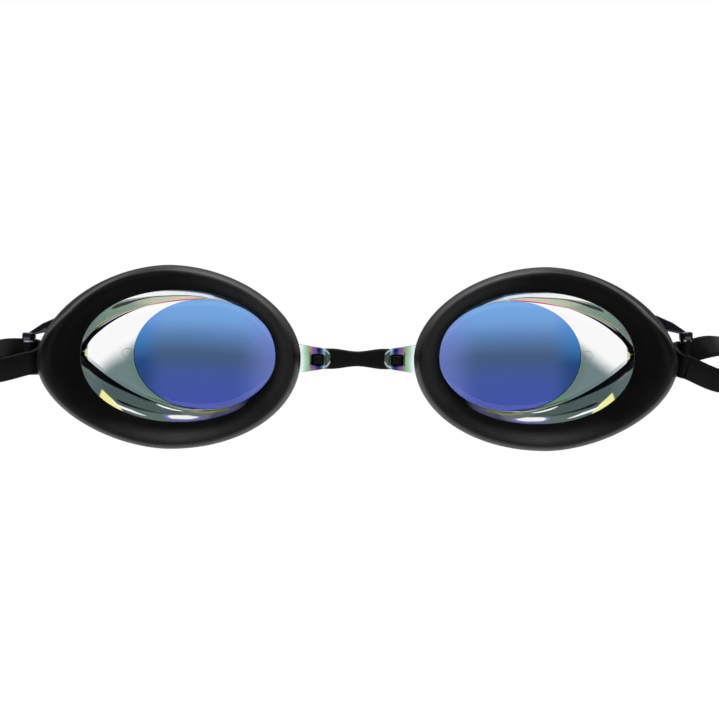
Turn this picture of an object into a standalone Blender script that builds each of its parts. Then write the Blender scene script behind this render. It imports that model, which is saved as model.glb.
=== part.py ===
"""Swim goggles: two moulded lens cups with soft face gaskets, a nose bridge plugged into both
cups, oval lens films, one flat head strap looped round the two strap posts, and its rear clip.

The frame is the wearer's: +Z up, +Y the way the wearer looks, +X to the wearer's right.
The origin is the middle of the nose gap between the two gaskets, behind the nose bridge.
"""

import math

import bmesh
import bpy
from mathutils import Vector

MM = 0.001

# Cup and gasket outlines, seen along +Y
NOSE_GAP = 26.0 * MM           # between the two gaskets, across the nose
GASKET_LENGTH = 60.4 * MM
GASKET_HEIGHT = 42.2 * MM
GASKET_POWER = 1.8             # superellipse power at the temple: under 2 is leaner than an ellipse
GASKET_POWER_NOSE_TOP = 1.87   # fuller at the nose, most of all below
GASKET_POWER_NOSE_LOW = 2.07
GASKET_DROOP = 1.0 * MM        # how far the temple end of the gasket hangs low
BAND_HEIGHT = 5.9 * MM         # gasket from its edge to the opening, above and below
BAND_NOSE = 5.9 * MM
BAND_TEMPLE = 9.5 * MM
OPENING_POWER = 2.1
OPENING_RAISE = 0.2 * MM

# Lens front face, an almond that is round at the nose and pointed at the temple
FACE_NOSE = 17.3 * MM          # half-length of the round end
WALL_DRAFT = 2.2 * MM          # how far the wall leans in above and below, from opening to face
WALL_DRAFT_NOSE = 0.2 * MM
TIP_REACH = 0.4 * MM           # how far the tip leans out past the opening
FACE_RAISE = 0.6 * MM
FACE_TIP_RAISE = 0.1 * MM
TIP_POWER_TOP = 1.2            # how lean the temple end is above and below
TIP_POWER_BOTTOM = 2.0
FACE_DEPTH = 14.0 * MM         # inner side of the face, ahead of the origin
FACE_TIP_DROP = 5.68 * MM      # how far the face sweeps back to its tip
FACE_THICKNESS = 1.8 * MM
FACE_EDGE = 0.6 * MM           # chamfer round the face
WALL = 1.5 * MM

# Flange and gasket depths
FLANGE_REAR = 2.5 * MM
FLANGE_THICKNESS = 2.0 * MM
FLANGE_SHARE = 0.58            # how much of the gasket's band the flange covers
GASKET_LIP = 3.9 * MM          # front of the gasket's outer lip
GASKET_INNER_LIP = 2.0 * MM    # thickness of the lip round the opening
GASKET_RIDGE = 8.0 * MM        # depth of the sealing ridge behind the origin
TEMPLE_SWEEP = 0.35            # extra ridge depth at the temple, to follow the face
NOSE_SWEEP = 0.15
SEAT_GAP = 0.3 * MM            # clearance between seated pieces
LIP_COVER = 0.3 * MM           # how far the gasket lip stands inside the lens wall
RIDGE_PROFILE = (              # share of the band from the opening, share of the ridge's depth
    (0.22, 0.33),
    (0.46, 0.80),
    (0.64, 1.00),
    (0.81, 0.93),
    (0.94, 0.64),
    (1.00, 0.28),
)
LIP_PROFILE = (                # share of the band, share of the outer lip's front
    (0.98, 0.40),
    (0.91, 0.90),
    (0.84, 1.00),
)

# Nose tab of each lens, and the bridge plugged into it
TAB_LENGTH = 6.8 * MM
TAB_TIP_HEIGHT = 4.3 * MM
TAB_ROOT_HEIGHT = 8.2 * MM
TAB_DROP = 0.2 * MM
TAB_CORNER = 1.9 * MM
TAB_ROOT = 5.0 * MM            # how far the tab runs in over the flange
PLATE_THICKNESS = 2.0 * MM     # tabs and temple brackets
PLUG_WINDOW_LENGTH = 2.8 * MM
PLUG_WINDOW_HEIGHT = 2.5 * MM
PLUG_INSET = 3.0 * MM          # window's centre, back from the tab's tip
PLUG_DROP = 0.5 * MM
PLUG_STAND = 0.6 * MM          # plug's end, proud of the tab
BRIDGE_WAIST = 3.5 * MM
BRIDGE_END_HEIGHT = 4.8 * MM
BRIDGE_THICKNESS = 2.0 * MM
BRIDGE_OVERLAP = 1.9 * MM      # paddle's end, past the plug's centre
BRIDGE_BOW = 1.2 * MM          # how far the middle bows forward
BRIDGE_SQUARENESS = 4.0        # superellipse power of the strip's section
BRIDGE_END_TAPER = 0.35        # share of its height that each end loses
BRIDGE_STATIONS = 24
BRIDGE_SIDES = 16

# Temple bracket and strap post
STRAP_TUCK = 0.5 * MM          # how far the strap's turn reaches in behind the gasket's temple end
POST_RADIUS = 1.6 * MM
POST_ROUND = 0.5 * MM
POST_TOP = 6.1 * MM
POST_BOTTOM = -5.1 * MM
POST_SIDES = 20
BRACKET_RUN = 7.0 * MM         # arm's knee, in from the post's axis
BRACKET_KNEE_TOP = 9.9 * MM
BRACKET_KNEE_BOTTOM = -6.6 * MM
BRACKET_KNEE_BACK = 4.2 * MM
BRACKET_ROOT = 15.5 * MM       # arm's inner end, in from the post's axis
BRACKET_ROOT_TOP = 11.6 * MM
BRACKET_ROOT_BOTTOM = -10.4 * MM
SLOT_LENGTH = 2.9 * MM         # strap slot, in from the post
SLOT_MARGIN_TOP = 1.0 * MM
SLOT_MARGIN_BOTTOM = 0.9 * MM
BRACKET_CORNER = 0.5 * MM

# Oval films on the lens fronts
FILM_LENGTH = 34.4 * MM
FILM_REACH = 0.35 * MM         # film's edge, out past the inner edge of the face, above and below
FILM_NOSE_REACH = 0.7 * MM     # film's nose end, out past the inner edge of the face
FILM_THICKNESS = 0.35 * MM

# Head strap, hanging slack from its posts with both runs gathered in the clip
STRAP_WIDTH = 5.4 * MM
STRAP_THICKNESS = 1.4 * MM
STRAP_REST_RIGHT = {           # heights of the band's middle on the right post
    "slot": 1.0 * MM,          # inside the slot
    "near": -1.7 * MM,         # beside the post, on the face side
    "near_out": -4.8 * MM,     # a shoulder's length out, on the face side
    "far": 1.75 * MM,          # beside the post, on the front side
    "far_out": 3.3 * MM,
}
STRAP_REST_LEFT = {
    "slot": 0.6 * MM,
    "near": -1.0 * MM,
    "near_out": -3.0 * MM,
    "far": 1.4 * MM,
    "far_out": 1.4 * MM,
}
STRAP_SHOULDER = 7.5 * MM
STRAP_SETTLE = 0.4             # where a run joins the hanging plane, back from its outermost point
STRAP_SAG = 0.7 * MM           # how far it has sunk there
NEAR_TURN = (8.0 * MM, 21.0 * MM)   # where each run turns flat, along it from the post
FAR_TURN = (0.0 * MM, 17.0 * MM)
OUTER_REACH = 30.0 * MM        # outermost point of the upper run, out from the post
OUTER_DROP = 113.0 * MM
INNER_REACH = 22.5 * MM
INNER_DROP = 104.0 * MM
HANG_START = 22.0 * MM         # below this height each run hangs in one sweep
HANG_POWER = 3.0               # over 2 is squarer than an ellipse
STRAP_FLAT = 28.0 * MM         # straight stretch each side of the middle, for the clip
STRAP_END_GAP = 0.6 * MM       # each strap end, from the middle of the clip
STRAP_STEP = 3.2 * MM
WRAP_STEPS = 12                # turns of the band round a post
SWEEP_STEPS = 8                # knots of each hanging sweep

# Rear clip
CLIP_LENGTH = 26.0 * MM
CLIP_WALL = 1.5 * MM
CLIP_CLEARANCE = 0.3 * MM
CLIP_CORNER = 1.2 * MM
CLIP_WINDOW_LENGTH = 15.0 * MM
CLIP_BAR = 1.4 * MM            # bars between the channels and the window
CLIP_WINDOW_ROUND = 0.45       # corner radius, as a share of the window's height

SEGMENTS = 64                  # points round each cup outline
ARC_STEPS = 5                  # points round a small corner
BEVEL_STEPS = 3
SMOOTH_ANGLE = math.radians(35)
WELD = 0.01 * MM

# Derived places
CUP_CENTRE = (NOSE_GAP + GASKET_LENGTH) / 2
OPENING_LENGTH = GASKET_LENGTH - BAND_NOSE - BAND_TEMPLE
OPENING_HEIGHT = GASKET_HEIGHT - 2 * BAND_HEIGHT
OPENING_SHIFT = (BAND_TEMPLE - BAND_NOSE) / 2
FACE_HEIGHT = OPENING_HEIGHT - 2 * WALL_DRAFT
FACE_TEMPLE = OPENING_LENGTH - WALL_DRAFT_NOSE + TIP_REACH - FACE_NOSE
FACE_SHIFT = OPENING_SHIFT + OPENING_LENGTH / 2 - WALL_DRAFT_NOSE - FACE_NOSE
FACE_SWEEP = FACE_TIP_DROP / FACE_TEMPLE ** 2
FILM_HEIGHT = FACE_HEIGHT + 2 * FILM_REACH
FILM_SHIFT = FACE_SHIFT + FACE_NOSE + FILM_NOSE_REACH - FILM_LENGTH / 2
FLANGE_FRONT = FLANGE_REAR + FLANGE_THICKNESS
PLATE_REAR = GASKET_LIP + SEAT_GAP
PLATE_FRONT = PLATE_REAR + PLATE_THICKNESS
PLATE_MIDDLE = (PLATE_REAR + PLATE_FRONT) / 2
TAB_TIP = NOSE_GAP / 2 - TAB_LENGTH
PLUG_CENTRE = TAB_TIP + PLUG_INSET
BRIDGE_MIDDLE = PLATE_FRONT + SEAT_GAP + BRIDGE_THICKNESS / 2
WRAP_RADIUS = POST_RADIUS + SEAT_GAP + STRAP_THICKNESS / 2
POST_X = NOSE_GAP / 2 + GASKET_LENGTH - STRAP_TUCK + WRAP_RADIUS + STRAP_THICKNESS / 2
STRAP_PLANE = PLATE_MIDDLE + WRAP_RADIUS
CLIP_MIDDLE = -(OUTER_DROP + INNER_DROP) / 2

ANGLES = [2 * math.pi * step / SEGMENTS for step in range(SEGMENTS)]


# Scene set-up

def clear_scene():
    for item in list(bpy.data.objects):
        bpy.data.objects.remove(item, do_unlink=True)


def make_collection(name):
    collection = bpy.data.collections.new(name)
    bpy.context.scene.collection.children.link(collection)
    return collection


def make_material(name, colour, roughness, metallic=0.0, alpha=1.0):
    material = bpy.data.materials.new(name)
    material.use_nodes = True
    shader = material.node_tree.nodes["Principled BSDF"]
    shader.inputs["Base Color"].default_value = (*colour, 1.0)
    shader.inputs["Roughness"].default_value = roughness
    shader.inputs["Metallic"].default_value = metallic
    shader.inputs["Alpha"].default_value = alpha
    return material


def add_object(name, mesh, collection, material=None):
    item = bpy.data.objects.new(name, mesh)
    collection.objects.link(item)
    if material:
        mesh.materials.clear()
        mesh.materials.append(material)
    return item


def mesh_from(work, name):
    bmesh.ops.recalc_face_normals(work, faces=work.faces)
    mesh = bpy.data.meshes.new(name)
    work.to_mesh(mesh)
    work.free()
    mesh.shade_smooth()
    mesh.set_sharp_from_angle(angle=SMOOTH_ANGLE)
    return mesh


# Outlines of one cup: x runs from the gasket's centre to the temple, z up

def superellipse(angle, half_x, half_z, power):
    c = math.cos(angle)
    s = math.sin(angle)
    x = math.copysign(abs(c) ** (2 / power), c) * half_x
    z = math.copysign(abs(s) ** (2 / power), s) * half_z
    return x, z


def gasket_power(angle):
    if math.cos(angle) > 0:
        return GASKET_POWER
    return GASKET_POWER_NOSE_TOP if math.sin(angle) > 0 else GASKET_POWER_NOSE_LOW


def gasket_outline(angle):
    x, z = superellipse(angle, GASKET_LENGTH / 2, GASKET_HEIGHT / 2, gasket_power(angle))
    temple = max(0.0, 2 * x / GASKET_LENGTH)
    return x, z - GASKET_DROOP * temple ** 3


def opening_outline(angle, grow=0.0):
    half_x = OPENING_LENGTH / 2 + grow
    half_z = OPENING_HEIGHT / 2 + grow
    x, z = superellipse(angle, half_x, half_z, OPENING_POWER)
    return x - OPENING_SHIFT, z + OPENING_RAISE


def face_outline(angle, grow=0.0):
    c = math.cos(angle)
    s = math.sin(angle)
    half_z = FACE_HEIGHT / 2 + grow
    if c < 0:
        return (FACE_NOSE + grow) * c - FACE_SHIFT, half_z * s + FACE_RAISE
    power = TIP_POWER_TOP if s > 0 else TIP_POWER_BOTTOM
    x = (FACE_TEMPLE + grow) * c - FACE_SHIFT
    z = math.copysign(half_z * abs(s) ** power, s)
    return x, z + FACE_RAISE + FACE_TIP_RAISE * c ** 2


def film_outline(angle):
    x, z = superellipse(angle, FILM_LENGTH / 2, FILM_HEIGHT / 2, 2.0)
    return x - FILM_SHIFT, z + FACE_RAISE


def across_gasket(angle, share, clearance=0.0):
    inner = opening_outline(angle)
    outer = gasket_outline(angle)
    return toward(inner, outer, share + clearance / math.dist(inner, outer))


def flange_edge(angle):
    return across_gasket(angle, FLANGE_SHARE)


def rebate_edge(angle):
    return across_gasket(angle, FLANGE_SHARE, SEAT_GAP)


def face_depth(x):
    return FACE_DEPTH - FACE_SWEEP * (x + FACE_SHIFT) ** 2


def toward(centre, point, share):
    x = centre[0] + (point[0] - centre[0]) * share
    z = centre[1] + (point[1] - centre[1]) * share
    return x, z


# Lofts through rings of points

def add_ring(work, points):
    return [work.verts.new(point) for point in points]


def bridge_rings(work, first, second):
    count = len(first)
    for index in range(count):
        after = (index + 1) % count
        work.faces.new((first[index], first[after], second[after], second[index]))


def fan_cap(work, ring, centre):
    tip = work.verts.new(centre)
    for index, vertex in enumerate(ring):
        work.faces.new((vertex, ring[(index + 1) % len(ring)], tip))


def loft_capped(rings, start, end):
    work = bmesh.new()
    made = [add_ring(work, points) for points in rings]
    for first, second in zip(made, made[1:]):
        bridge_rings(work, first, second)
    fan_cap(work, made[0], start)
    fan_cap(work, made[-1], end)
    return work


def loft_closed(rings):
    work = bmesh.new()
    made = [add_ring(work, points) for points in rings]
    for first, second in zip(made, made[1:] + made[:1]):
        bridge_rings(work, first, second)
    return work


def place(side, x, y, z):
    return Vector((side * (CUP_CENTRE + x), y, z))


# Plates: flat outlines with rounded corners, extruded along Y

def rounded(corners, radius):
    points = []
    count = len(corners)
    for index in range(count):
        corner = Vector(corners[index])
        before = (Vector(corners[index - 1]) - corner).normalized()
        after = (Vector(corners[(index + 1) % count]) - corner).normalized()
        half = before.angle(after) / 2
        middle = (before + after).normalized()
        centre = corner + middle * (radius / math.sin(half))
        start = (corner + before * (radius / math.tan(half)) - centre).normalized()
        finish = (corner + after * (radius / math.tan(half)) - centre).normalized()
        for step in range(ARC_STEPS):
            points.append(centre + start.slerp(finish, step / (ARC_STEPS - 1)) * radius)
    return points


def plate_mesh(name, outlines, rear, front):
    curve = bpy.data.curves.new(name, "CURVE")
    curve.dimensions = "2D"
    curve.fill_mode = "BOTH"
    curve.extrude = (front - rear) / 2
    for outline in outlines:
        spline = curve.splines.new("POLY")
        spline.points.add(len(outline) - 1)
        spline.use_cyclic_u = True
        for point, place_2d in zip(spline.points, outline):
            point.co = (place_2d[0], place_2d[1], 0.0, 1.0)
    flat = bpy.data.objects.new(name, curve)
    bpy.context.scene.collection.objects.link(flat)
    flat.rotation_euler = (math.radians(90), 0.0, 0.0)
    flat.location = (0.0, (front + rear) / 2, 0.0)
    bpy.context.view_layer.update()
    evaluated = flat.evaluated_get(bpy.context.evaluated_depsgraph_get())
    mesh = bpy.data.meshes.new_from_object(evaluated)
    mesh.transform(flat.matrix_world)
    bpy.data.objects.remove(flat, do_unlink=True)
    bpy.data.curves.remove(curve)
    work = bmesh.new()
    work.from_mesh(mesh)
    bpy.data.meshes.remove(mesh)
    bmesh.ops.remove_doubles(work, verts=work.verts, dist=WELD)
    return mesh_from(work, name)


def boolean(item, cutter, operation):
    modifier = item.modifiers.new(cutter.name, "BOOLEAN")
    modifier.operation = operation
    modifier.object = cutter
    modifier.solver = "EXACT"


def guide(name, mesh, collection):
    item = add_object(name, mesh, collection)
    item.hide_render = True
    item.display_type = "WIRE"
    return item


def box_mesh(name, size, centre):
    work = bmesh.new()
    bmesh.ops.create_cube(work, size=1.0)
    bmesh.ops.scale(work, vec=size, verts=work.verts)
    bmesh.ops.translate(work, vec=centre, verts=work.verts)
    return mesh_from(work, name)


# Lens cup with its nose tab and temple bracket

def lens_cup_mesh(name, side):
    centre = (-FACE_SHIFT, FACE_RAISE)

    def face_ring(share, grow, lift):
        ring = []
        for angle in ANGLES:
            x, z = toward(centre, face_outline(angle, grow), share)
            ring.append(place(side, x, face_depth(x) + lift, z))
        return ring

    def flat_ring(outline, depth):
        return [place(side, x, depth, z) for x, z in map(outline, ANGLES)]

    rim_grow = WALL - FACE_EDGE
    rings = [
        face_ring(1 / 3, rim_grow, FACE_THICKNESS),
        face_ring(2 / 3, rim_grow, FACE_THICKNESS),
        face_ring(1.0, rim_grow, FACE_THICKNESS),
        face_ring(1.0, WALL, FACE_THICKNESS - FACE_EDGE),
        flat_ring(lambda angle: opening_outline(angle, LIP_COVER + WALL), FLANGE_FRONT),
        flat_ring(flange_edge, FLANGE_FRONT),
        flat_ring(flange_edge, FLANGE_REAR),
        flat_ring(lambda angle: opening_outline(angle, LIP_COVER), FLANGE_REAR),
        face_ring(1.0, 0.0, 0.0),
        face_ring(2 / 3, 0.0, 0.0),
        face_ring(1 / 3, 0.0, 0.0),
    ]
    front = place(side, centre[0], face_depth(centre[0]) + FACE_THICKNESS, centre[1])
    rear = place(side, centre[0], face_depth(centre[0]), centre[1])
    return mesh_from(loft_capped(rings, front, rear), name)


def mirrored(corners, side):
    return [(side * x, z) for x, z in corners]


def nose_tab_mesh(name, side):
    root = NOSE_GAP / 2 + TAB_ROOT
    outline = [
        (TAB_TIP, TAB_TIP_HEIGHT / 2 - TAB_DROP),
        (root, TAB_ROOT_HEIGHT / 2 - TAB_DROP),
        (root, -TAB_ROOT_HEIGHT / 2 - TAB_DROP),
        (TAB_TIP, -TAB_TIP_HEIGHT / 2 - TAB_DROP),
    ]
    near = PLUG_CENTRE - PLUG_WINDOW_LENGTH / 2
    far = PLUG_CENTRE + PLUG_WINDOW_LENGTH / 2
    top = PLUG_WINDOW_HEIGHT / 2 - PLUG_DROP
    low = -PLUG_WINDOW_HEIGHT / 2 - PLUG_DROP
    window = [(near, top), (far, top), (far, low), (near, low)]
    outlines = [rounded(mirrored(outline, side), TAB_CORNER), mirrored(window, side)]
    return plate_mesh(name, outlines, PLATE_REAR, PLATE_FRONT)


def bracket_mesh(name, side):
    outline = [
        (POST_X, POST_TOP),
        (POST_X - BRACKET_RUN, BRACKET_KNEE_TOP),
        (POST_X - BRACKET_ROOT, BRACKET_ROOT_TOP),
        (POST_X - BRACKET_ROOT, BRACKET_ROOT_BOTTOM),
        (POST_X - BRACKET_KNEE_BACK, BRACKET_KNEE_BOTTOM),
        (POST_X, POST_BOTTOM),
    ]
    slot_end = POST_X - POST_RADIUS / 2
    slot_start = POST_X - POST_RADIUS - SLOT_LENGTH
    slope = (BRACKET_KNEE_TOP - POST_TOP) / BRACKET_RUN
    slot = [
        (slot_end, POST_TOP - SLOT_MARGIN_TOP),
        (slot_start, POST_TOP - SLOT_MARGIN_TOP + slope * SLOT_LENGTH / 2),
        (slot_start, POST_BOTTOM + SLOT_MARGIN_BOTTOM),
        (slot_end, POST_BOTTOM + SLOT_MARGIN_BOTTOM),
    ]
    outlines = [
        rounded(mirrored(outline, side), BRACKET_CORNER),
        rounded(mirrored(slot, side), BRACKET_CORNER),
    ]
    return plate_mesh(name, outlines, PLATE_REAR, PLATE_FRONT)


def cup_pocket_mesh(name, side):
    """The hollow of the cup, which trims the tab and bracket roots out of the eye space."""
    rings = []
    for depth, outline in ((FLANGE_REAR, opening_outline), (FACE_DEPTH, face_outline)):
        ring = []
        for x, z in (outline(angle, WALL / 2) for angle in ANGLES):
            y = depth if outline is opening_outline else face_depth(x)
            ring.append(place(side, x, y, z))
        rings.append(ring)
    rear = place(side, -OPENING_SHIFT, FLANGE_REAR, OPENING_RAISE)
    front = place(side, -FACE_SHIFT, face_depth(-FACE_SHIFT), FACE_RAISE)
    return mesh_from(loft_capped(rings, rear, front), name)


def post_mesh(name, side):
    work = bmesh.new()
    height = POST_TOP - POST_BOTTOM
    bmesh.ops.create_cone(
        work,
        cap_ends=True,
        segments=POST_SIDES,
        radius1=POST_RADIUS,
        radius2=POST_RADIUS,
        depth=height,
    )
    ends = [edge for edge in work.edges if edge.verts[0].co.z * edge.verts[1].co.z > 0]
    bmesh.ops.bevel(work, geom=ends, offset=POST_ROUND, segments=2, profile=0.5, affect="EDGES")
    middle = (POST_TOP + POST_BOTTOM) / 2
    bmesh.ops.translate(work, vec=(side * POST_X, PLATE_MIDDLE, middle), verts=work.verts)
    return mesh_from(work, name)


def make_lens(name, side, parts, cutters, material):
    lens = add_object(name, lens_cup_mesh(name, side), parts, material)
    pocket = guide(name + "_pocket", cup_pocket_mesh(name + "_pocket", side), cutters)
    bracket = guide(name + "_bracket", bracket_mesh(name + "_bracket", side), cutters)
    post = guide(name + "_post", post_mesh(name + "_post", side), cutters)
    boolean(bracket, post, "UNION")
    tab = guide(name + "_nose_tab", nose_tab_mesh(name + "_nose_tab", side), cutters)
    for plate in (tab, bracket):
        boolean(plate, pocket, "DIFFERENCE")
        boolean(lens, plate, "UNION")
    return lens


# Face gasket: one section swept round the opening, deeper at the temple

def gasket_section():
    """Outlines and depths round the section, from the inner lip over the ridge to the rebate."""
    seat = FLANGE_REAR - SEAT_GAP
    rise = [(0.0, seat - GASKET_INNER_LIP)]
    rise += [(share, -GASKET_RIDGE * depth) for share, depth in RIDGE_PROFILE]
    rise += [(share, GASKET_LIP * depth) for share, depth in LIP_PROFILE]
    section = [(lambda angle, share=share: across_gasket(angle, share), depth) for share, depth in rise]
    return section + [(rebate_edge, GASKET_LIP), (rebate_edge, seat), (opening_outline, seat)]


def make_gasket(name, side, parts, material):
    rings = []
    for outline, depth in gasket_section():
        ring = []
        for x, z in map(outline, ANGLES):
            along = 2 * x / GASKET_LENGTH
            sweep = TEMPLE_SWEEP if along > 0 else NOSE_SWEEP
            y = depth * (1 + sweep * along ** 2) if depth < 0 else depth
            ring.append(place(side, x, y, z))
        rings.append(ring)
    return add_object(name, mesh_from(loft_closed(rings), name), parts, material)


def make_film(name, side, parts, material):
    centre = (-FILM_SHIFT, FACE_RAISE)
    near = FACE_THICKNESS + SEAT_GAP
    far = near + FILM_THICKNESS
    rings = []
    for share, lift in ((0.5, near), (1.0, near), (1.0, far), (0.5, far)):
        ring = []
        for angle in ANGLES:
            x, z = toward(centre, film_outline(angle), share)
            ring.append(place(side, x, face_depth(x) + lift, z))
        rings.append(ring)
    start = place(side, centre[0], face_depth(centre[0]) + near, centre[1])
    end = place(side, centre[0], face_depth(centre[0]) + far, centre[1])
    return add_object(name, mesh_from(loft_capped(rings, start, end), name), parts, material)


# Nose bridge: a bowed strip, lofted from end to end, with a plug into each tab

def make_nose_bridge(name, parts, cutters, material):
    reach = PLUG_CENTRE + BRIDGE_OVERLAP
    rings = []
    for step in range(BRIDGE_STATIONS + 1):
        share = 2 * step / BRIDGE_STATIONS - 1
        x = reach * math.sin(share * math.pi / 2)
        along = min(1.0, abs(x) / TAB_TIP)
        blend = along * along * (3 - 2 * along)
        height = BRIDGE_WAIST + (BRIDGE_END_HEIGHT - BRIDGE_WAIST) * blend
        end = max(0.0, abs(x) - (reach - BRIDGE_OVERLAP)) / BRIDGE_OVERLAP
        height *= 1 - BRIDGE_END_TAPER * end ** 3
        y = BRIDGE_MIDDLE + BRIDGE_BOW * (1 - blend)
        ring = []
        for side_step in range(BRIDGE_SIDES):
            angle = 2 * math.pi * side_step / BRIDGE_SIDES
            across, up = superellipse(angle, BRIDGE_THICKNESS / 2, height / 2, BRIDGE_SQUARENESS)
            ring.append(Vector((x, y + across, up - TAB_DROP)))
        rings.append(ring)
    start = sum(rings[0], Vector()) / BRIDGE_SIDES
    end = sum(rings[-1], Vector()) / BRIDGE_SIDES
    bridge = add_object(name, mesh_from(loft_capped(rings, start, end), name), parts, material)
    plug_rear = PLATE_REAR - PLUG_STAND
    size = (
        PLUG_WINDOW_LENGTH - 2 * SEAT_GAP,
        BRIDGE_MIDDLE - plug_rear,
        PLUG_WINDOW_HEIGHT - 2 * SEAT_GAP,
    )
    for label, side in (("left", -1), ("right", 1)):
        centre = (side * PLUG_CENTRE, (BRIDGE_MIDDLE + plug_rear) / 2, -PLUG_DROP)
        plug_name = f"{name}_{label}_plug"
        boolean(bridge, guide(plug_name, box_mesh(plug_name, size, centre), cutters), "UNION")
    return bridge


# Head strap: a ribbon from the clip, round the right post, below, round the left post and back

def smooth_path(knots, step):
    """Points about a step apart on a Catmull-Rom curve through all knots but the first and last."""
    points = []
    for a, b, c, d in zip(knots, knots[1:], knots[2:], knots[3:]):
        count = max(1, round((c - b).length / step))
        for index in range(count):
            t = index / count
            point = 2 * b + (c - a) * t
            point += (2 * a - 5 * b + 4 * c - d) * t ** 2
            point += (3 * b - a - 3 * c + d) * t ** 3
            points.append(point / 2)
    points.append(knots[-2].copy())
    return points


def hanging_sweep(reach, drop):
    """From the run's outermost point down and in to the straight stretch by the clip."""
    half_x = POST_X + reach - STRAP_FLAT
    half_z = drop - HANG_START
    points = []
    for step in range(SWEEP_STEPS + 1):
        angle = math.pi / 2 * step / SWEEP_STEPS
        x, z = superellipse(angle, half_x, half_z, HANG_POWER)
        points.append(Vector((STRAP_FLAT + x, STRAP_PLANE, -HANG_START - z)))
    return points


def strap_run(exit_y, height, height_out, reach, drop, turn):
    """One run of the right half from the post to the straight stretch, each point with its turn."""
    out = POST_X + reach
    shoulder = POST_X + STRAP_SHOULDER
    knots = [
        Vector((POST_X - STRAP_SHOULDER, exit_y, 2 * height - height_out)),
        Vector((POST_X, exit_y, height)),
        Vector((shoulder, exit_y, height_out)),
        Vector((out - STRAP_SETTLE * (out - shoulder), STRAP_PLANE, height_out - STRAP_SAG)),
        *hanging_sweep(reach, drop),
        Vector((0.0, STRAP_PLANE, -drop)),
    ]
    stations = []
    travelled = 0.0
    before = knots[1]
    for point in smooth_path(knots, STRAP_STEP):
        travelled += (point - before).length
        before = point
        share = (travelled - turn[0]) / (turn[1] - turn[0])
        share = min(1.0, max(0.0, share))
        stations.append((point, share * share * (3 - 2 * share)))
    return stations


def wrap_points(rest):
    """The turn through the slot, from the near side of the right post to its far side."""
    points = []
    for step in range(WRAP_STEPS + 1):
        angle = math.pi * step / WRAP_STEPS
        lean = math.cos(angle)
        side = rest["near"] if lean > 0 else rest["far"]
        x = POST_X - WRAP_RADIUS * math.sin(angle)
        y = PLATE_MIDDLE - WRAP_RADIUS * lean
        z = rest["slot"] + (side - rest["slot"]) * abs(lean)
        points.append((Vector((x, y, z)), 0.0))
    return points


def half_strap(rest):
    """The right half, from the inner end in the clip, round the post, to the outer run's middle."""
    near_y = PLATE_MIDDLE - WRAP_RADIUS
    far_y = PLATE_MIDDLE + WRAP_RADIUS
    inner = strap_run(near_y, rest["near"], rest["near_out"], INNER_REACH, INNER_DROP, NEAR_TURN)
    outer = strap_run(far_y, rest["far"], rest["far_out"], OUTER_REACH, OUTER_DROP, FAR_TURN)
    inner_end = (Vector((STRAP_END_GAP, STRAP_PLANE, -INNER_DROP)), 1.0)
    return [inner_end] + inner[:0:-1] + wrap_points(rest) + outer[1:]


def make_strap(name, parts, material):
    right = half_strap(STRAP_REST_RIGHT)
    left = [(Vector((-point.x, point.y, point.z)), flat) for point, flat in half_strap(STRAP_REST_LEFT)]
    stations = right + left[::-1]
    points = [point for point, flat in stations]
    work = bmesh.new()
    rails = []
    for index, (point, flat) in enumerate(stations):
        before = points[max(0, index - 1)]
        after = points[min(len(points) - 1, index + 1)]
        tangent = (after - before).normalized()
        turn = flat * math.pi / 2
        across = Vector((0.0, math.sin(turn), math.cos(turn)))
        across = (across - tangent * across.dot(tangent)).normalized()
        edge = across * (STRAP_WIDTH / 2)
        rails.append((work.verts.new(point - edge), work.verts.new(point + edge)))
    for first, second in zip(rails, rails[1:]):
        work.faces.new((first[0], second[0], second[1], first[1]))
    mesh = bpy.data.meshes.new(name)
    work.to_mesh(mesh)
    work.free()
    strap = add_object(name, mesh, parts, material)
    thicken = strap.modifiers.new("thickness", "SOLIDIFY")
    thicken.thickness = STRAP_THICKNESS
    thicken.offset = 0.0
    return strap


# Rear clip: two channels for the strap's runs with a window between them

def make_clip(name, parts, cutters, material):
    channel_depth = STRAP_WIDTH + 2 * CLIP_CLEARANCE
    channel_height = STRAP_THICKNESS + 2 * CLIP_CLEARANCE
    depth = channel_depth + 2 * CLIP_WALL
    height = OUTER_DROP - INNER_DROP + channel_height + 2 * CLIP_WALL
    size = (CLIP_LENGTH, depth, height)
    clip = add_object(name, box_mesh(name, size, (0.0, STRAP_PLANE, CLIP_MIDDLE)), parts, material)
    corner = clip.modifiers.new("corners", "BEVEL")
    corner.width = CLIP_CORNER
    corner.segments = BEVEL_STEPS
    channel = (CLIP_LENGTH + 2 * CLIP_WALL, channel_depth, channel_height)
    for label, drop in (("outer", OUTER_DROP), ("inner", INNER_DROP)):
        channel_name = f"{name}_{label}_channel"
        cut = box_mesh(channel_name, channel, (0.0, STRAP_PLANE, -drop))
        boolean(clip, guide(channel_name, cut, cutters), "DIFFERENCE")
    window_height = OUTER_DROP - INNER_DROP - channel_height - 2 * CLIP_BAR
    half_x = CLIP_WINDOW_LENGTH / 2
    half_z = window_height / 2
    corners = [(-half_x, half_z), (half_x, half_z), (half_x, -half_z), (-half_x, -half_z)]
    outline = [(x, z + CLIP_MIDDLE) for x, z in rounded(corners, CLIP_WINDOW_ROUND * window_height)]
    window_name = name + "_window"
    window = plate_mesh(window_name, [outline], STRAP_PLANE - depth, STRAP_PLANE + depth)
    boolean(clip, guide(window_name, window, cutters), "DIFFERENCE")
    return clip


# Pivots: an empty on each joint's axis carries the pieces and cutters that move with it

def make_pivot(name, location, carried, collection):
    pivot = bpy.data.objects.new(name, None)
    pivot.location = location
    pivot.empty_display_size = NOSE_GAP / 2
    for item in list(bpy.data.objects):
        if item != pivot and item.name.startswith(carried):
            item.parent = pivot
            item.matrix_parent_inverse = pivot.matrix_basis.inverted()
    collection.objects.link(pivot)


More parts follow.
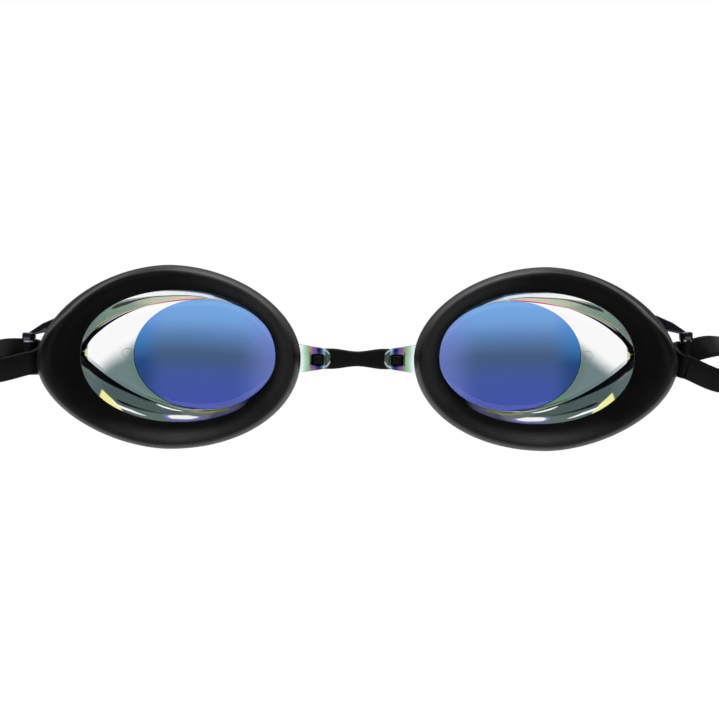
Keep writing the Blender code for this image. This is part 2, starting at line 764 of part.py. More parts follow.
def build():
    clear_scene()
    parts = make_collection("swim_goggles")
    cutters = make_collection("cutters")
    clear_lens = make_material("clear_lens", (0.62, 0.72, 0.74), 0.08, alpha=0.35)
    gasket_rubber = make_material("gasket_rubber", (0.012, 0.012, 0.013), 0.5)
    bridge_rubber = make_material("bridge_rubber", (0.014, 0.014, 0.014), 0.45)
    blue_film = make_material("blue_film", (0.10, 0.24, 0.55), 0.25)
    strap_rubber = make_material("strap_rubber", (0.010, 0.010, 0.010), 0.42)
    clip_plastic = make_material("clip_plastic", (0.016, 0.016, 0.018), 0.35)
    for label, side in (("left", -1), ("right", 1)):
        make_lens(f"{label}_lens", side, parts, cutters, clear_lens)
        make_gasket(f"{label}_gasket", side, parts, gasket_rubber)
        make_film(f"{label}_lens_film", side, parts, blue_film)
        hinge = (side * TAB_TIP, BRIDGE_MIDDLE, 0.0)
        make_pivot(f"{label}_cup_hinge", hinge, f"{label}_", parts)
    make_nose_bridge("nose_bridge", parts, cutters, bridge_rubber)
    make_strap("head_strap", parts, strap_rubber)
    make_clip("rear_clip", parts, cutters, clip_plastic)
    make_pivot("clip_slide", (0.0, STRAP_PLANE, CLIP_MIDDLE), "rear_clip", parts)


build()
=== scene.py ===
import math

import bmesh
import bpy
from mathutils import Matrix, Vector


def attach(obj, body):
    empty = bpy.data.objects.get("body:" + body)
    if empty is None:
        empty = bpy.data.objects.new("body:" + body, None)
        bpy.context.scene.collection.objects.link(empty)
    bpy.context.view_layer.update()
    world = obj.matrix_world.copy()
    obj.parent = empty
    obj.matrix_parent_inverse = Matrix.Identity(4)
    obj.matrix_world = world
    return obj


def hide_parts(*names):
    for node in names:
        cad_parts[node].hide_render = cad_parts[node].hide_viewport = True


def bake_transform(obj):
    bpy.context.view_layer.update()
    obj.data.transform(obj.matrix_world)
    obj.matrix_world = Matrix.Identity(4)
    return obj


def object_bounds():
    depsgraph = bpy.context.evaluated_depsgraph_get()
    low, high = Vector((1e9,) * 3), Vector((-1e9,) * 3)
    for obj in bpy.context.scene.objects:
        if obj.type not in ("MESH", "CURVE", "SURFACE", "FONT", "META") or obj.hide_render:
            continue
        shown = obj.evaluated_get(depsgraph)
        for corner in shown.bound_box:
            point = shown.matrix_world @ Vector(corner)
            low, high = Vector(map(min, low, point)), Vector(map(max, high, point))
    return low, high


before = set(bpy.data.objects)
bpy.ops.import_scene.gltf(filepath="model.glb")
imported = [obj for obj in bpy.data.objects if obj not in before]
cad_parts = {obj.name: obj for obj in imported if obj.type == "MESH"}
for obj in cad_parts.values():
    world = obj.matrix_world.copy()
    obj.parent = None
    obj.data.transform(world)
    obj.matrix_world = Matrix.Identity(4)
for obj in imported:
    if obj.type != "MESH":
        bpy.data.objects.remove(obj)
cadBox = [list(corner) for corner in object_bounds()]
mm = 0.001
weld = 0.002 * mm       # points nearer than this become one
sides = {"left": -1, "right": 1}
print("frame loaded:", sorted(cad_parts))


def srgb(red, green, blue):
    def linear(value):
        share = value / 255
        return share / 12.92 if share <= 0.04045 else ((share + 0.055) / 1.055) ** 2.4
    return linear(red), linear(green), linear(blue)


def opaque(colour):
    return (*colour, 1.0)


# shader maths: a wire is one socket, and expressions on wires add Math nodes
class Wire:
    def __init__(self, tree, socket=None):
        self.tree = tree
        self.socket = socket

    def node(self, kind, settings=None, sockets=None, out=0):
        made = self.tree.nodes.new(kind)
        for key, value in (settings or {}).items():
            if key == "stops":
                elements = made.color_ramp.elements
                while len(elements) < len(value):
                    elements.new(0.5)
                for element, (place, colour) in zip(elements, value):
                    element.position = place
                    element.color = opaque(colour)
            else:
                setattr(made, key, value)
        for key, value in (sockets or {}).items():
            if isinstance(value, Wire):
                self.tree.links.new(value.socket, made.inputs[key])
            else:
                made.inputs[key].default_value = value
        return Wire(self.tree, made.outputs[out])

    def math(self, operation, first, second=0.0):
        return self.node("ShaderNodeMath", {"operation": operation}, {0: first, 1: second})

    def __add__(self, other):
        return self.math("ADD", self, other)

    def __radd__(self, other):
        return self.math("ADD", other, self)

    def __sub__(self, other):
        return self.math("SUBTRACT", self, other)

    def __rsub__(self, other):
        return self.math("SUBTRACT", other, self)

    def __mul__(self, other):
        return self.math("MULTIPLY", self, other)

    def __rmul__(self, other):
        return self.math("MULTIPLY", other, self)

    def __truediv__(self, other):
        return self.math("DIVIDE", self, other)

    def __pow__(self, other):
        return self.math("POWER", self, other)

    def size(self):
        return self.math("ABSOLUTE", self)

    def rise(self, low, high):  # smooth step from 0 at low to 1 at high
        settings = {"interpolation_type": "SMOOTHSTEP"}
        if low < high:
            return self.node("ShaderNodeMapRange", settings, {0: self, 1: low, 2: high})
        return self.node("ShaderNodeMapRange", settings, {0: self, 1: high, 2: low, 3: 1.0, 4: 0.0})

    def hump(self, middle, width):  # 1 at the middle, 0 a width away
        return (self - middle).size().rise(width, 0.0)

    def colours(self, knots, paint=srgb):  # straight stretches between knots of place and colour
        low = knots[0][0]
        reach = knots[-1][0] - low
        stops = [((place - low) / reach, paint(*colour)) for place, colour in knots]
        return self.node("ShaderNodeValToRGB", {"stops": stops}, {0: (self - low) / reach})

    def along(self, knots):  # the same with values
        peak = max(value for place, value in knots) or 1.0
        greys = [(place, (value / peak,) * 3) for place, value in knots]
        return self.colours(greys, lambda *grey: grey) * peak

    def blend(self, first, second):  # this wire mixes two colours
        first, second = [end if isinstance(end, Wire) else opaque(end) for end in (first, second)]
        return self.node("ShaderNodeMix", {"data_type": "RGBA"}, {0: self, 6: first, 7: second}, out=2)

    def axes(self):
        split = self.tree.nodes.new("ShaderNodeSeparateXYZ")
        self.tree.links.new(self.socket, split.inputs[0])
        return [Wire(self.tree, socket) for socket in split.outputs]

    def noise(self, scale, detail, roughness=0.5):  # this wire is the place
        sockets = {"Vector": self, "Scale": scale, "Detail": detail, "Roughness": roughness}
        return self.node("ShaderNodeTexNoise", {}, sockets)

    def bump(self, strength, depth):  # this wire is the height
        return self.node("ShaderNodeBump", {}, {"Strength": strength, "Distance": depth, "Height": self})

    def attribute(self, name):
        return self.node("ShaderNodeAttribute", {"attribute_name": name}, out="Fac")


def newFinish(name):
    material = bpy.data.materials.new(name)
    material.use_nodes = True
    shader = material.node_tree.nodes["Principled BSDF"]
    place = Wire(material.node_tree).node("ShaderNodeTexCoord", out="Object")
    return material, shader, place


def feed(shader, **sockets):
    for key, value in sockets.items():
        socket = shader.inputs[key.replace("_", " ")]
        if isinstance(value, Wire):
            value.tree.links.new(value.socket, socket)
        else:
            socket.default_value = value


# outlines of one cup, x from the gasket's centre to the temple and z up, sizes as in the frame
cup = {
    "noseGap": 26.0 * mm,
    "gasketLength": 60.4 * mm,
    "gasketHeight": 42.2 * mm,
    "gasketPower": 1.8,
    "nosePowerTop": 1.87,
    "nosePowerLow": 2.07,
    "gasketDroop": 1.0 * mm,
    "openingLength": 45.0 * mm,
    "openingHeight": 30.4 * mm,
    "openingShift": 1.8 * mm,
    "openingRaise": 0.2 * mm,
    "openingPower": 2.1,
    "segments": 240,
}
cup["centre"] = (cup["noseGap"] + cup["gasketLength"]) / 2
angles = [2 * math.pi * step / cup["segments"] for step in range(cup["segments"])]

lens = {
    "noseHalf": 17.3 * mm,
    "templeHalf": 27.9 * mm,
    "height": 26.0 * mm,
    "shift": 6.8 * mm,
    "raise": 0.6 * mm,
    "tipRaise": 0.1 * mm,
    "tipPowerTop": 1.2,
    "tipPowerBottom": 2.0,
    "depth": 14.0 * mm,
    "tipDrop": 5.68 * mm,
    "thickness": 1.8 * mm,
    "edge": 0.6 * mm,
    "wall": 1.5 * mm,
    "flangeRear": 2.5 * mm,
    "flangeFront": 4.5 * mm,
    "flangeShare": 0.58,
    "lipCover": 0.3 * mm,
    "faceShare": 0.97,  # of the way out to a corner, where its bend starts
    "wallReach": 0.95,  # of the way up the inner wall, where its bend starts
    "wallRings": 8,
    "faceRings": 10,
    "bendRings": 4,
}

film = {
    "length": 34.4 * mm,
    "height": 26.7 * mm,
    "shift": 7.6 * mm,
    "gap": 0.2 * mm,
    "thickness": 0.35 * mm,
    "edgeShare": 0.997,     # of the way out, where its edge turns
    "edgeTurn": 0.3,        # of the thickness
    "sharp": 60,
    "rings": 14,
}


def superellipse(angle, halfX, halfZ, power):
    c = math.cos(angle)
    s = math.sin(angle)
    x = math.copysign(abs(c) ** (2 / power), c) * halfX
    z = math.copysign(abs(s) ** (2 / power), s) * halfZ
    return x, z


def toward(first, second, share):
    return tuple(a + (b - a) * share for a, b in zip(first, second))


def smooth(share):
    return share * share * (3 - 2 * share)


def gasketOutline(angle):
    power = cup["gasketPower"]
    if math.cos(angle) <= 0:
        power = cup["nosePowerTop"] if math.sin(angle) > 0 else cup["nosePowerLow"]
    x, z = superellipse(angle, cup["gasketLength"] / 2, cup["gasketHeight"] / 2, power)
    temple = max(0.0, 2 * x / cup["gasketLength"])
    return x, z - cup["gasketDroop"] * temple ** 3


def openingOutline(angle, grow=0.0):
    halfX = cup["openingLength"] / 2 + grow
    halfZ = cup["openingHeight"] / 2 + grow
    x, z = superellipse(angle, halfX, halfZ, cup["openingPower"])
    return x - cup["openingShift"], z + cup["openingRaise"]


def acrossGasket(angle, share, clearance=0.0):
    inner = openingOutline(angle)
    outer = gasketOutline(angle)
    return toward(inner, outer, share + clearance / math.dist(inner, outer))


def faceOutline(angle, grow=0.0):
    c = math.cos(angle)
    s = math.sin(angle)
    halfZ = lens["height"] / 2 + grow
    if c < 0:
        return (lens["noseHalf"] + grow) * c - lens["shift"], halfZ * s + lens["raise"]
    power = lens["tipPowerTop"] if s > 0 else lens["tipPowerBottom"]
    x = (lens["templeHalf"] + grow) * c - lens["shift"]
    z = math.copysign(halfZ * abs(s) ** power, s)
    return x, z + lens["raise"] + lens["tipRaise"] * c ** 2


def faceDepth(x):
    return lens["depth"] - lens["tipDrop"] * ((x + lens["shift"]) / lens["templeHalf"]) ** 2


# meshes from rings of points
def finishMesh(work, name, sharp=40):
    bmesh.ops.recalc_face_normals(work, faces=work.faces)
    mesh = bpy.data.meshes.new(name)
    work.to_mesh(mesh)
    work.free()
    mesh.shade_smooth()
    mesh.set_sharp_from_angle(angle=math.radians(sharp))
    return mesh


def joinRings(work, first, second):
    for index in range(len(first)):
        after = (index + 1) % len(first)
        work.faces.new((first[index], first[after], second[after], second[index]))


def capRing(work, ring):
    middle = sum((vertex.co for vertex in ring), Vector()) / len(ring)
    tip = work.verts.new(middle)
    for index, vertex in enumerate(ring):
        work.faces.new((vertex, ring[(index + 1) % len(ring)], tip))


def loft(rings, closed=False):
    work = bmesh.new()
    made = [[work.verts.new(point) for point in ring] for ring in rings]
    for first, second in zip(made, made[1:]):
        joinRings(work, first, second)
    if closed:
        joinRings(work, made[-1], made[0])
    else:
        capRing(work, made[0])
        capRing(work, made[-1])
    return work


def markRings(mesh, name, values, caps=()):  # a value for each ring and cap, and the way round
    spare = [0.0] * len(caps)
    marks = {
        name: [value for value in values for angle in angles] + list(caps),
        "roundCos": [math.cos(angle) for angle in angles] * len(values) + spare,
        "roundSin": [math.sin(angle) for angle in angles] * len(values) + spare,
    }
    for key, data in marks.items():
        mesh.attributes.new(key, "FLOAT", "POINT").data.foreach_set("value", data)


def addPiece(mesh, finish=None):
    piece = bpy.data.objects.new(mesh.name, mesh)
    bpy.context.scene.collection.objects.link(piece)
    if finish:
        mesh.materials.clear()
        mesh.materials.append(finish)
    return piece


def throughKnots(a, b, c, d, t):  # Catmull-Rom from b at 0 to c at 1, for numbers or vectors
    cubic = 2 * b + (c - a) * t + (2 * a - 5 * b + 4 * c - d) * t ** 2
    return (cubic + (3 * b - a - 3 * c + d) * t ** 3) / 2


def spline(knots, steps):  # through every knot, with the ends doubled
    padded = [knots[0], *knots, knots[-1]]
    points = []
    for four in zip(padded, padded[1:], padded[2:], padded[3:]):
        for index in range(steps):
            points.append(tuple(throughKnots(*axis, index / steps) for axis in zip(*four)))
    points.append(tuple(knots[-1]))
    return points


# finishes: a pair of numbers is where a change starts and ends, and a noise scale is finer the larger it is
def wayRound(wire):  # degrees round a cup from its temple tip, up positive
    return wire.math("ARCTAN2", wire.attribute("roundSin"), wire.attribute("roundCos")) * (180 / math.pi)


rubber = {
    "dark": (0.0030, 0.0031, 0.0031),
    "worn": (0.0066, 0.0066, 0.0064),
    "dust": (0.070, 0.069, 0.066),
    "mottle": {"scale": 210.0, "detail": 4.0, "roughness": 0.6},
    "mottleEdge": (0.3, 0.75),
    "mottleDull": 0.22,
    "grain": {"scale": 5200.0, "detail": 2.0},
    "bump": 0.05,
    "bumpDepth": 0.2 * mm,
    "specks": 900.0,
    "speckEdge": (0.16, 0.04),
    "speckDull": 0.2,
    "patches": {"scale": 70.0, "detail": 3.0},
    "patchEdge": (0.56, 0.72),
    # how the mottle breaks up the painted highlights
    "highlightLeast": 0.6,
    "highlightMottle": 0.8,
    "innerSlope": (0.72, 0.5),
    "innerDull": 0.45,  # added roughness of the gasket's inner slope
    "shine": 0.14,
}


def siliconeFinish(name, dusty, roughness, paintedHighlights=()):
    material, shader, place = newFinish(name)
    mottle = place.noise(**rubber["mottle"])
    grain = place.noise(**rubber["grain"])
    patches = place.noise(**rubber["patches"])
    cells = place.node("ShaderNodeTexVoronoi", {}, {"Vector": place, "Scale": rubber["specks"]})
    specks = cells.rise(*rubber["speckEdge"]) * patches.rise(*rubber["patchEdge"]) * dusty
    base = mottle.rise(*rubber["mottleEdge"]).blend(rubber["dark"], rubber["worn"])
    rough = roughness + (mottle - 0.5) * rubber["mottleDull"] + specks * rubber["speckDull"]
    if paintedHighlights:
        turn = wayRound(place)
        band = place.attribute("bandShare")
        rough = rough + band.rise(*rubber["innerSlope"]) * rubber["innerDull"]
    # painted highlights: each line lightens the base colour along a band of the gasket
    for line in paintedHighlights:
        mask = band.hump(turn.along(line["middle"]), line["width"]) * turn.along(line["weight"])
        mask = mask * (mottle * rubber["highlightMottle"] + rubber["highlightLeast"])
        base = mask.blend(base, (line["grey"],) * 3)
    base = specks.blend(base, rubber["dust"])
    feed(shader, Base_Color=base, Normal=grain.bump(rubber["bump"], rubber["bumpDepth"]), Roughness=rough)
    feed(shader, Specular_IOR_Level=rubber["shine"])
    return material


glass = {               # places are in mm from the cup's centre, unless a note says otherwise
    "clear": (0.985, 0.99, 0.985),
    # painted shade over the clear glass towards the bottom: grey, then green-grey, and green beside the film
    "paintedGreyShade": srgb(112, 131, 134),
    "paintedGreyShadeEdge": (12.3, 7.0),
    "shade": srgb(120, 147, 124),
    "shadeEdge": (-1.5, -6.5),
    "slant": 0.75,
    "smears": {"scale": 160.0, "detail": 5.0},
    "shadeSpread": 2.4,
    "smearEdge": (0.5, 0.8),
    "smearDull": 0.03,
    "filmEdge": (0.97, 1.0),        # in shares of the film's size
    "paintedGreenShade": srgb(98, 125, 114),
    "paintedGreenShadeEdge": (1.13, 1.0),        # in the same shares
    "paintedGreenShadeShare": 0.7,
    "paintedTipShade": srgb(10, 10, 16),
    "tip": 20.15,       # where the painted shade starts at the temple tip
    "tipZ": 0.85,
    "tipCurve": 0.06,
    "tipEdge": (-0.15, 0.15),
    "paintedTipReflection": srgb(190, 186, 96),
    "wedgeTip": 21.4,
    "wedgeSlope": 0.82,
    "wedgeEdge": (-0.1, 0.1),
    "wedgeStart": (-0.15, 0.1),
    "gateX": 10.8,      # moulding mark beside the film
    "gateZ": 0.7,
    "gateRadius": 1.2,
    "gateWidth": 0.3,
    "gateShare": 0.45,
    "gateBump": 0.5,
    "gateDepth": 0.1 * mm,
    "marginEdge": (3.90, 3.93),     # by wallShare and degrees round: clear over the crease's painted glints
    "marginTurn": ((-91, -87), (-62, -66)),
    "roughness": 0.012,
    "ior": 1.4,
}


def lensFinish():
    material, shader, place = newFinish("clear_lens_painted_shade")
    x, z = place.axes()[::2]
    outward = (x.size() - cup["centre"]) / mm
    height = z / mm
    smears = place.noise(**glass["smears"])
    slant = height + outward * glass["slant"] + (smears - 0.5) * glass["shadeSpread"]
    filmX = (outward + film["shift"] / mm) / (film["length"] / 2 / mm)
    filmZ = (height - lens["raise"] / mm) / (film["height"] / 2 / mm)
    aside = (filmX * filmX + filmZ * filmZ) ** 0.5
    bare = aside.rise(*glass["filmEdge"])
    # painted shade: the clear glass turns grey, then green-grey towards the bottom, and green near the film's
    # edge
    greyShading = bare * slant.rise(*glass["paintedGreyShadeEdge"])
    greenShading = greyShading * aside.rise(*glass["paintedGreenShadeEdge"]) * glass["paintedGreenShadeShare"]
    tint = greyShading.blend(glass["clear"], glass["paintedGreyShade"])
    tint = (bare * slant.rise(*glass["shadeEdge"])).blend(tint, glass["shade"])
    tint = greenShading.blend(tint, glass["paintedGreenShade"])
    # painted shade over the temple tip, and a painted olive reflection in a wedge beside it
    fromTip = (height - glass["tipZ"]).size()
    tipShading = (outward + fromTip * fromTip * glass["tipCurve"] - glass["tip"]).rise(*glass["tipEdge"])
    tint = tipShading.blend(tint, glass["paintedTipShade"])
    wedge = ((glass["wedgeTip"] - outward) * glass["wedgeSlope"] - fromTip).rise(*glass["wedgeEdge"])
    wedge = wedge * (outward - glass["tip"]).rise(*glass["wedgeStart"])
    tint = wedge.blend(tint, glass["paintedTipReflection"])
    # moulding mark: a ring bump, darkened with the painted grey shade
    gate = ((outward - glass["gateX"]) ** 2 + (height - glass["gateZ"]) ** 2) ** 0.5
    ring = gate.hump(glass["gateRadius"], glass["gateWidth"]) * bare
    tint = (ring * glass["gateShare"]).blend(tint, glass["paintedGreyShade"])
    turn = wayRound(place)
    margin = place.attribute("wallShare").rise(*glass["marginEdge"])
    for edge in glass["marginTurn"]:
        margin = margin * turn.rise(*edge)
    tint = margin.blend(tint, glass["clear"])
    rough = glass["roughness"] + smears.rise(*glass["smearEdge"]) * glass["smearDull"]
    feed(shader, Base_Color=tint, Roughness=rough, Normal=ring.bump(glass["gateBump"], glass["gateDepth"]))
    feed(shader, Transmission_Weight=1.0, IOR=glass["ior"])
    return material


# painted reflections on the cup's clear wall, in tones, glints and dark crease lines: strokes by the way
# round, in degrees from the temple tip with up positive, and by the share of the way in from the opening to
# the crease, as (turn, from, to)
wallReflections = {
    "ior": 1.12,
    "soft": 0.025,      # half the width of a stroke's edge
    "softEnd": 1,       # the same at its ends, in degrees
    "wobble": {"scale": 90.0, "detail": 2.0},
    "wobbleShare": 0.05,
    "roughness": 0.02,
    "wobbleDull": 0.03,
    "noseEdge": (98, 112),
    "noseDull": 0.5,    # added roughness where the wall is dark at the nose
    "rimEdge": (1.02, 1.10),
    "flangeEdge": (-0.6, -0.1),
    "outerEdge": (2.6, 2.2),
    "round": [
        (-180, (8, 8, 12)), (-130, (10, 10, 16)), (-119, (112, 110, 150)), (-100, (112, 120, 114)),
        (-75, (96, 112, 108)), (-60, (84, 100, 98)), (-45, (74, 91, 93)), (-28, (90, 107, 110)),
        (-13, (92, 110, 110)), (0, (30, 34, 40)), (12, (48, 58, 60)), (22, (68, 88, 82)),
        (42, (106, 135, 121)), (58, (126, 152, 138)), (70, (196, 200, 172)), (86, (226, 216, 178)),
        (98, (224, 214, 180)), (112, (60, 60, 70)), (120, (10, 10, 16)), (180, (8, 8, 12)),
    ],
    "rim": [
        (-180, (254, 254, 254)), (-92, (254, 254, 254)), (-86, (60, 76, 66)), (-66, (46, 66, 52)),
        (-60, (84, 108, 110)), (-40, (104, 124, 127)), (-24, (150, 165, 165)), (-12, (235, 240, 240)),
        (0, (254, 254, 254)), (180, (254, 254, 254)),
    ],
    "strokes": {
        "lowerBelt": ((78, 91, 91), [
            (-84, 0.66, 0.72), (-76, 0.52, 0.90), (-62, 0.47, 0.93), (-52, 0.36, 0.82), (-44, 0.36, 0.72),
            (-37, 0.50, 0.60),
        ]),
        "oliveStreak": ((112, 116, 96), [(-30, 0.54, 0.62), (-24, 0.50, 0.60), (-12, 0.28, 0.38)]),
        "noseShade": ((8, 8, 14), [
            (74, 0.0, 0.02), (82, 0.0, 0.12), (92, 0.0, 0.26), (103, 0.0, 0.42), (112, 0.0, 0.85),
            (124, 0.0, 1.1),
        ]),
        "topGlint": ((255, 255, 255), [
            (50, 0.0, 0.04), (58, 0.0, 0.12), (66, 0.0, 0.30), (72, 0.08, 0.41), (80, 0.16, 0.56),
            (88, 0.30, 0.66), (96, 0.40, 0.82), (104, 0.46, 1.02), (114, 0.88, 1.05),
        ]),
        "topLine": ((10, 10, 20), [
            (46, 0.22, 0.32), (50, 0.15, 0.41), (54, 0.20, 0.47), (58, 0.28, 0.47), (63, 0.35, 0.46),
            (70, 0.40, 0.49), (78, 0.53, 0.62), (88, 0.63, 0.73), (96, 0.80, 0.90),
        ]),
        "upperGold": ((150, 146, 96), [
            (30, 0.66, 0.80), (43, 0.76, 0.90), (54, 0.84, 0.96), (64, 0.88, 0.97),
        ]),
        "upperLilac": ((206, 204, 228), [
            (28, 0.93, 1.0), (41, 0.96, 1.03), (54, 0.97, 1.03), (63, 0.96, 1.0),
        ]),
        "upperCrease": ((10, 10, 24), [
            (4, 0.30, 1.9), (10, 0.50, 1.9), (16, 0.75, 1.9), (22, 0.84, 1.9), (30, 0.94, 1.95),
            (41, 1.03, 1.8), (50, 1.04, 1.6), (58, 1.04, 1.3), (66, 1.03, 1.1),
        ]),
        "pinkCrease": ((214, 84, 120), [
            (62, 1.02, 1.2), (70, 1.0, 1.5), (78, 0.98, 1.6), (86, 0.96, 1.5), (93, 0.96, 1.15),
        ]),
        "lowerCrease": ((12, 12, 18), [
            (-78, 0.97, 1.02), (-70, 0.95, 1.06), (-61, 0.92, 1.06), (-56, 0.88, 1.04), (-48, 0.81, 1.02),
            (-44, 0.77, 1.0), (-32, 0.67, 1.0), (-22, 0.62, 1.02), (-14, 0.42, 1.2), (-6, 0.16, 1.9),
            (4, 0.16, 1.9),
        ]),
        "yellowGlint": ((240, 240, 160), [
            (-57, 0.0, 0.03), (-53, 0.0, 0.17), (-47, 0.0, 0.28), (-39, 0.0, 0.36), (-38, 0.0, 0.36),
        ]),
        "templeGlint": ((255, 255, 255), [
            (-70, 0.20, 0.21), (-66, 0.18, 0.23), (-60, 0.17, 0.25), (-55, 0.14, 0.22), (-51, 0.16, 0.20),
            (-47, 0.22, 0.24),
        ]),
        "lowerLine": ((10, 10, 18), [
            (-76, 0.50, 0.54), (-68, 0.44, 0.51), (-60, 0.37, 0.46), (-54, 0.32, 0.43), (-49, 0.34, 0.39),
        ]),
        "violetEdge": ((92, 88, 164), [
            (-122, 0.0, 0.35), (-110, 0.0, 0.26), (-96, 0.0, 0.18), (-82, 0.0, 0.10),
        ]),
        "lowerGold": ((150, 148, 100), [
            (-114, 0.62, 0.92), (-104, 0.70, 0.92), (-92, 0.78, 0.92), (-86, 0.86, 0.93),
        ]),
        "maroonCrease": ((60, 34, 40), [(-108, 0.98, 1.1), (-95, 0.97, 1.12), (-84, 1.0, 1.12)]),
        "lilacHalo": ((128, 130, 206), [
            (-99, 0.28, 0.46), (-94, 0.22, 0.46), (-88, 0.23, 0.50), (-82, 0.25, 0.50), (-78, 0.38, 0.46),
        ]),
        "lowGlint": ((255, 255, 255), [
            (-96, 0.38, 0.46), (-93, 0.31, 0.51), (-88, 0.31, 0.60), (-83, 0.31, 0.56), (-80, 0.40, 0.50),
        ]),
        "creaseGlint": ((255, 255, 255), [
            (-82, 0.86, 0.88), (-78, 0.84, 0.89), (-73, 0.86, 0.92), (-69, 0.91, 0.94),
        ]),
        "rimGlint": ((235, 238, 255), [(-88, 1.0, 1.04), (-82, 1.0, 1.06), (-74, 1.03, 1.07)]),
    },
}


def tinted(red, green, blue):  # one pass through the painted wall takes the square root of its colour
    return tuple(value ** 2 for value in srgb(red, green, blue))


def wallFinish():
    material, shader, place = newFinish("wall_painted_reflections")
    share = place.attribute("wallShare")
    turn = wayRound(place)
    wobble = place.noise(**wallReflections["wobble"])
    across = share + (wobble - 0.5) * wallReflections["wobbleShare"]
    soft = (-wallReflections["soft"], wallReflections["soft"])
    softEnd = (-wallReflections["softEnd"], wallReflections["softEnd"])
    # painted reflections: the wall's tone by the way round, a tinted band past the crease, then strokes of
    # glints, dark crease lines and bands
    base = turn.colours(wallReflections["round"], tinted)
    base = share.rise(*wallReflections["rimEdge"]).blend(base, turn.colours(wallReflections["rim"]))
    for colour, edges in wallReflections["strokes"].values():
        inner = turn.along([(degrees, low) for degrees, low, high in edges])
        outer = turn.along([(degrees, high) for degrees, low, high in edges])
        reach = (turn - edges[0][0]).rise(*softEnd) * (edges[-1][0] - turn).rise(*softEnd)
        stroke = reach * (across - inner).rise(*soft) * (outer - across).rise(*soft)
        base = stroke.blend(base, tinted(*colour))
    paintedArea = share.rise(*wallReflections["flangeEdge"]) * share.rise(*wallReflections["outerEdge"])
    base = paintedArea.blend(glass["clear"], base)
    dull = turn.size().rise(*wallReflections["noseEdge"]) * wallReflections["noseDull"]
    feed(shader, Base_Color=base, Roughness=wallReflections["roughness"] + wobble * wallReflections["wobbleDull"] + dull)
    feed(shader, Transmission_Weight=1.0, IOR=wallReflections["ior"])
    return material


tabLook = {             # colours by the way from the middle, in mm, all painted reflections: clear root, then the tip round the window
    "root": [
        (10.5, (120, 130, 60)), (11.0, (150, 160, 84)), (11.5, (140, 186, 156)), (12.2, (176, 212, 196)),
        (12.8, (226, 240, 236)), (14.0, (250, 252, 252)),
    ],
    "edges": [
        (6.2, (20, 50, 40)), (7.3, (30, 70, 60)), (7.8, (120, 150, 170)), (8.2, (50, 90, 135)),
        (8.6, (14, 24, 54)), (9.2, (24, 20, 56)), (9.6, (92, 66, 152)), (10.4, (122, 88, 152)),
        (10.8, (150, 112, 122)), (11.1, (150, 150, 80)),
    ],
    "middle": [
        (6.2, (30, 42, 38)), (7.0, (62, 82, 72)), (7.4, (24, 34, 30)), (7.8, (86, 104, 96)),
        (8.1, (10, 10, 12)), (10.6, (10, 10, 14)), (10.9, (96, 104, 50)), (11.1, (150, 160, 84)),
    ],
    "middleDrop": 0.5,
    "middleEdge": (1.0, 1.4),
    "rim": (214, 228, 222),
    "rimX": 8.1,
    "rimRadius": 1.74,
    "rimWidth": 0.24,
    "rimArcs": ((0.05, 1), (-0.45, -1)),        # painted glints: height of an arc's middle, and whether it is over or under
    "rimEnd": (0.6, 1.1),
    "rimEdge": (8.2, 7.6),
    "line": (104, 98, 136),                     # painted shade along the root's upper edge
    "lineEdge": (-0.5, -0.15),
    "lineGaps": (0.2, 0.5),
    "halfHeight": [(6.2, 2.15), (18.0, 4.1)],   # by the way from the middle, in mm
    "rootCloud": {"scale": 420.0, "detail": 2.0},
    "rootSpread": 1.2,
    "rootRoughness": (0.02, 0.03),              # least, and what the cloud adds
    "tipCloud": {"scale": 700.0, "detail": 2.0},
    "tipSpread": (0.9, 0.6),                   # aside and up, in mm
    "coatRoughness": (0.16, 0.06),
    "ior": 1.2,
    "level": 0.5,       # share of the light that a painted face gets here
    "brightest": 0.95,
}


def tabFinish():
    material, shader, place = newFinish("tab_painted_reflections")
    x, z = place.axes()[::2]
    cloud = place.noise(**tabLook["rootCloud"])
    aside = x.size() / mm
    # painted reflections: tints of the clear root by the way from the middle
    base = (aside + (cloud - 0.5) * tabLook["rootSpread"]).colours(tabLook["root"])
    line = (z / mm - aside.along(tabLook["halfHeight"])).rise(*tabLook["lineEdge"])
    # painted shade along the root's upper edge
    base = (line * cloud.rise(*tabLook["lineGaps"])).blend(base, srgb(*tabLook["line"]))
    least, added = tabLook["rootRoughness"]
    feed(shader, Base_Color=base, Roughness=least + cloud * added)
    feed(shader, Transmission_Weight=1.0, IOR=tabLook["ior"])
    return material


def tabTipFinish():
    def lit(red, green, blue):
        return tuple(min(tabLook["brightest"], value / tabLook["level"]) for value in srgb(red, green, blue))

    material, shader, place = newFinish("tab_tip_painted_reflections")
    x, z = place.axes()[::2]
    cloud = place.noise(**tabLook["tipCloud"])
    spreadAside, spreadUp = tabLook["tipSpread"]
    aside = x.size() / mm
    inward = aside + (cloud - 0.5) * spreadAside
    height = z / mm + (cloud - 0.5) * spreadUp
    # painted reflections over the tip, with other tints along its middle
    toEdge = (height + tabLook["middleDrop"]).size().rise(*tabLook["middleEdge"])
    base = toEdge.blend(inward.colours(tabLook["middle"], lit), inward.colours(tabLook["edges"], lit))
    # painted glints: bright arcs along the tip's rim
    for middle, over in tabLook["rimArcs"]:
        ring = ((aside - tabLook["rimX"]) ** 2 + (z / mm - middle) ** 2) ** 0.5
        rim = ring.hump(tabLook["rimRadius"], tabLook["rimWidth"]) * inward.rise(*tabLook["rimEdge"])
        base = (rim * (z * over / mm).rise(*tabLook["rimEnd"])).blend(base, lit(*tabLook["rim"]))
    least, added = tabLook["coatRoughness"]
    feed(shader, Base_Color=base, Roughness=least + cloud * added)
    return material


